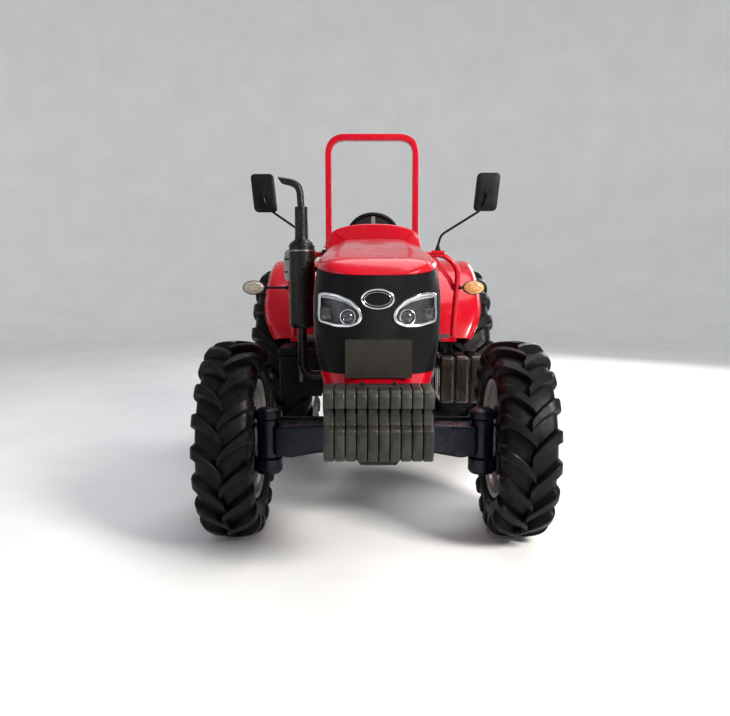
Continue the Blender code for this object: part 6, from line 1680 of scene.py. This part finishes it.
def knuckle(side_name, side):
    """The steered casting: turned lips above and below the boss, the web and drum outside it,
    and the arm with its pin behind."""
    top, bottom = AXLE_Z + LIP, AXLE_Z - LIP
    web = block((KINGPIN + 0.071, AXLE_Y - 0.062, bottom - 0.085),
                (KINGPIN + 0.103, AXLE_Y + 0.062, top + 0.055), 0.011)
    bore = [(0.0385, 0), (0.0385, 0.0226), (0, 0.0226), (0, 0.0735), (0.002, 0.075)]
    upper = lathe(bore + [(0.036, 0.075), (0.042, 0.070), (0.051, 0.053), (0.055, 0.046),
                          (0.055, 0)],
                  (KINGPIN, AXLE_Y, top), (0, 0, 1), 56)
    lower = lathe(bore + [(0.064, 0.075), (0.074, 0.071), (0.084, 0.061), (0.085, 0.056),
                          (0.085, 0)],
                  (KINGPIN, AXLE_Y, bottom), (0, 0, -1), 56)
    drum = lathe([(0.075, 0), (0.075, 0.104), (0.081, 0.110), (0.099, 0.131), (0.104, 0.135),
                  (0.133, 0.135),
                  (0.133, 0.045), (0.173, 0.045), (0.173, 0)], (KINGPIN, AXLE_Y, AXLE_Z),
                 (1, 0, 0), 72)
    arm_line = [(0.690, -0.980), (0.690, -0.942), (0.630, -0.822), (0.590, -0.814),
                (0.566, -0.840), (0.590, -0.866),
                (0.624, -0.874), (0.661, -0.939)]
    arm = slab(rounded(arm_line, 0.014, 5), "Z", ARM_LEVEL - 0.020, ARM_LEVEL, 0.004)
    pin = lathe([(0, 0), (0, 0.0115), (0.046, 0.0115), (0.048, 0.009), (0.048, 0)],
                (KINGPIN, -0.84, ARM_LEVEL - 0.008),
                (0, 0, 1), 28)
    centre = np.array([KINGPIN, AXLE_Y, top])
    caps = around(bolt(centre + (0, 0.060, 0.0385), (0, 0, 1), 0.0075, 0.008), 4, centre,
                  (0, 0, 1), 0.785)
    shapes = [(web, 0), (upper, 0), (lower, 0), (drum, 0), (arm, 0), (pin, 1), (caps, 1)]
    return piece(f"knuckle_casting_{side_name}", f"knuckle_{side_name}", shapes,
                 [navy, steel], side, smooth=35, stands_for=(f"knuckle_{side_name}",))


def engine_detail():
    """What bolts onto the engine's sides below the cover: the sump's flange, side covers, the
    oil filter and fuel filters on the left, the starter on the right, and pipes."""
    flange = block((-0.197, -0.728, 0.626), (0.197, -0.212, 0.642), 0.003)
    shapes = [(flange, 0)]
    for side in (1, -1):
        row = np.arange(9)[:, None] * (0, 0.060, 0) + (0.1965, -0.710, 0.634)
        bolts = repeated(bolt((0, 0, 0), (1, 0, 0), 0.0060, 0.005), row)
        covers = together(*[block((0.186, y, 0.770), (0.199, y + 0.150, 0.900), 0.006, "X")
                            for y in (-0.56, -0.39)])
        pins = repeated(bolt((0, 0, 0), (1, 0, 0), 0.0060, 0.005),
                        [(0.1988, y + dy, z) for y in (-0.56, -0.39) for dy in (0.015, 0.135)
                         for z in (0.785, 0.885)])
        ribs = together(*[block((0.184, -1.02 + 0.075 * k, 0.700),
                                (0.196, -1.008 + 0.075 * k, 0.860), 0.004)
                          for k in range(4)])
        shapes += [(on_side(bolts, side), 1), (on_side(covers, side), 0), (on_side(pins, side), 1),
                   (on_side(ribs, side), 0)]
    oil = lathe(smoothed([(0, 0), (0, 0.030), (0.008, 0.038), (0.050, 0.038), (0.060, 0.032),
                          (0.062, 0.0)], 1),
                (0.186, -0.640, 0.715), (1, 0, 0), 40)
    shapes.append((oil, 2))
    for y in (-0.800, -0.735):
        cup = lathe(smoothed([(0, 0), (0, 0.018), (0.006, 0.026), (0.085, 0.026), (0.090, 0.022),
                              (0.092, 0.0)], 1),
                    (0.220, y, 0.745), (0, 0, 1), 36)
        shapes.append((cup, 2))
    shapes.append((block((0.184, -0.832, 0.834), (0.250, -0.703, 0.862), 0.006), 0))
    starter = lathe(smoothed([(0, 0), (0, 0.030), (0.006, 0.034), (0.130, 0.034), (0.136, 0.028),
                              (0.190, 0.026),
                              (0.192, 0.0)], 1), (-0.214, -0.420, 0.715), (0, 1, 0), 40)
    coil = lathe([(0, 0), (0, 0.017), (0.090, 0.018), (0.094, 0.014), (0.094, 0)],
                 (-0.218, -0.390, 0.764), (0, 1, 0), 32)
    saddle = block((-0.240, -0.260, 0.690), (-0.185, -0.235, 0.780), 0.005)
    shapes += [(starter, 0), (coil, 2), (saddle, 0)]
    for side, level in ((1, 0.690), (-1, 0.668)):
        pipe = tube(bent([(0.188, -0.960, level + 0.04), (0.205, -0.930, level),
                          (0.205, -0.480, level - 0.012),
                          (0.203, -0.240, level), (0.188, -0.225, level)], 0.03, 6),
                    disc(0.0055, 14), up=(0, 0, 1))
        shapes.append((on_side(pipe, side), 1))
    return piece("engine_fittings", "root", shapes, [dark, steel, filter_paint], smooth=40)


axle_beam()
engine_detail()
for side_name, side in SIDES:
    knuckle(side_name, side)


# ---- Frame pieces kept from the machine's own solids -------------------------------------
KEPT = {
    "front_frame": dark, "engine": dark, "radiator": fins, "drive_shaft": dark, "drawbar": dark,
    "tie_rod": black,
    "gearbox": navy, "rear_axle_housing": navy, "hitch_housing": navy, "seat_base": black,
    "lift_arms": dark, "lower_link_left": dark, "lower_link_right": dark, "lift_rod_left": dark,
    "lift_rod_right": dark,
}
for name, material in KEPT.items():
    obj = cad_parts[name]
    obj.data.materials.clear()
    obj.data.materials.append(material)


# ---- Floor, light and camera ------------------------------------------------------------
def floor_finish():
    material, tree, shader = new_finish("pale_floor")
    cloud = speckle(tree, place(tree), 1.2, 3.0)
    tree.links.new(blend_colours(tree, cloud, (0.90, 0.90, 0.90), (0.94, 0.94, 0.94)),
                   shader.inputs["Base Color"])
    shader.inputs["Roughness"].default_value = 0.9
    return material


def backdrop():
    """A floor turned about the tractor's middle: level out to 11 m, then a quarter circle of
    5 m up to a wall."""
    bend = np.linspace(0, math.pi / 2, 17)
    radius = np.concatenate([[0.0, 4.0, 8.0], 11.0 + 5.0 * np.sin(bend), [16.0]])
    height = np.concatenate([[0.0, 0.0, 0.0], 5.0 * (1 - np.cos(bend)), [12.0]])
    verts, quads, _ = lathe(np.stack([height, radius], axis=-1), (0, 0, 0), (0, 0, 1), 96)
    mesh = bpy.data.meshes.new("floor")
    mesh.from_pydata(verts.tolist(), [], quads[:, ::-1].tolist())
    mesh.materials.append(floor_finish())
    mesh.shade_smooth()
    obj = bpy.data.objects.new("floor", mesh)
    bpy.context.collection.objects.link(obj)


def lamp(name, at, aim, power, size, colour=(1, 1, 1)):
    data = bpy.data.lights.new(name, "AREA")
    data.energy, data.color = power, colour
    data.shape, data.size, data.size_y = "RECTANGLE", size[0], size[1]
    obj = bpy.data.objects.new(name, data)
    bpy.context.collection.objects.link(obj)
    obj.location = at
    away = np.array(at, float) - np.array(aim, float)
    flat = math.hypot(away[0], away[1])
    obj.rotation_euler = (math.atan2(flat, away[2]), 0.0, math.atan2(away[0], -away[1]))


backdrop()
world = bpy.data.worlds.new("studio")
world.use_nodes = True
world.node_tree.nodes["Background"].inputs["Color"].default_value = (0.86, 0.90, 0.96, 1.0)
world.node_tree.nodes["Background"].inputs["Strength"].default_value = 0.34
bpy.context.scene.world = world
lamp("key", (4.6, -5.4, 4.6), (0.0, -0.6, 1.0), 620, (2.0, 2.0), (1.0, 0.96, 0.90))
lamp("fill", (-5.2, -5.0, 2.4), (0.0, -0.4, 1.0), 30, (4.0, 3.0), (0.90, 0.95, 1.0))
lamp("top", (1.0, 1.2, 6.4), (0.0, 0.2, 0.0), 150, (4.0, 4.0))
lamp("rear", (4.4, 6.0, 3.4), (0.0, 0.6, 1.0), 170, (4.0, 3.0))

bpy.context.scene.view_settings.view_transform = "Standard"
bpy.context.scene.view_settings.look = "Medium High Contrast"
camera = bpy.data.objects.new("camera", bpy.data.cameras.new("camera"))
camera.data.sensor_width, camera.data.lens = 36.0, 35.75
camera.location = (-0.057, -4.93, 1.44)
camera.rotation_euler = (math.pi / 2 - 0.117, 0.0, 0.0)
bpy.context.collection.objects.link(camera)
bpy.context.scene.camera = camera
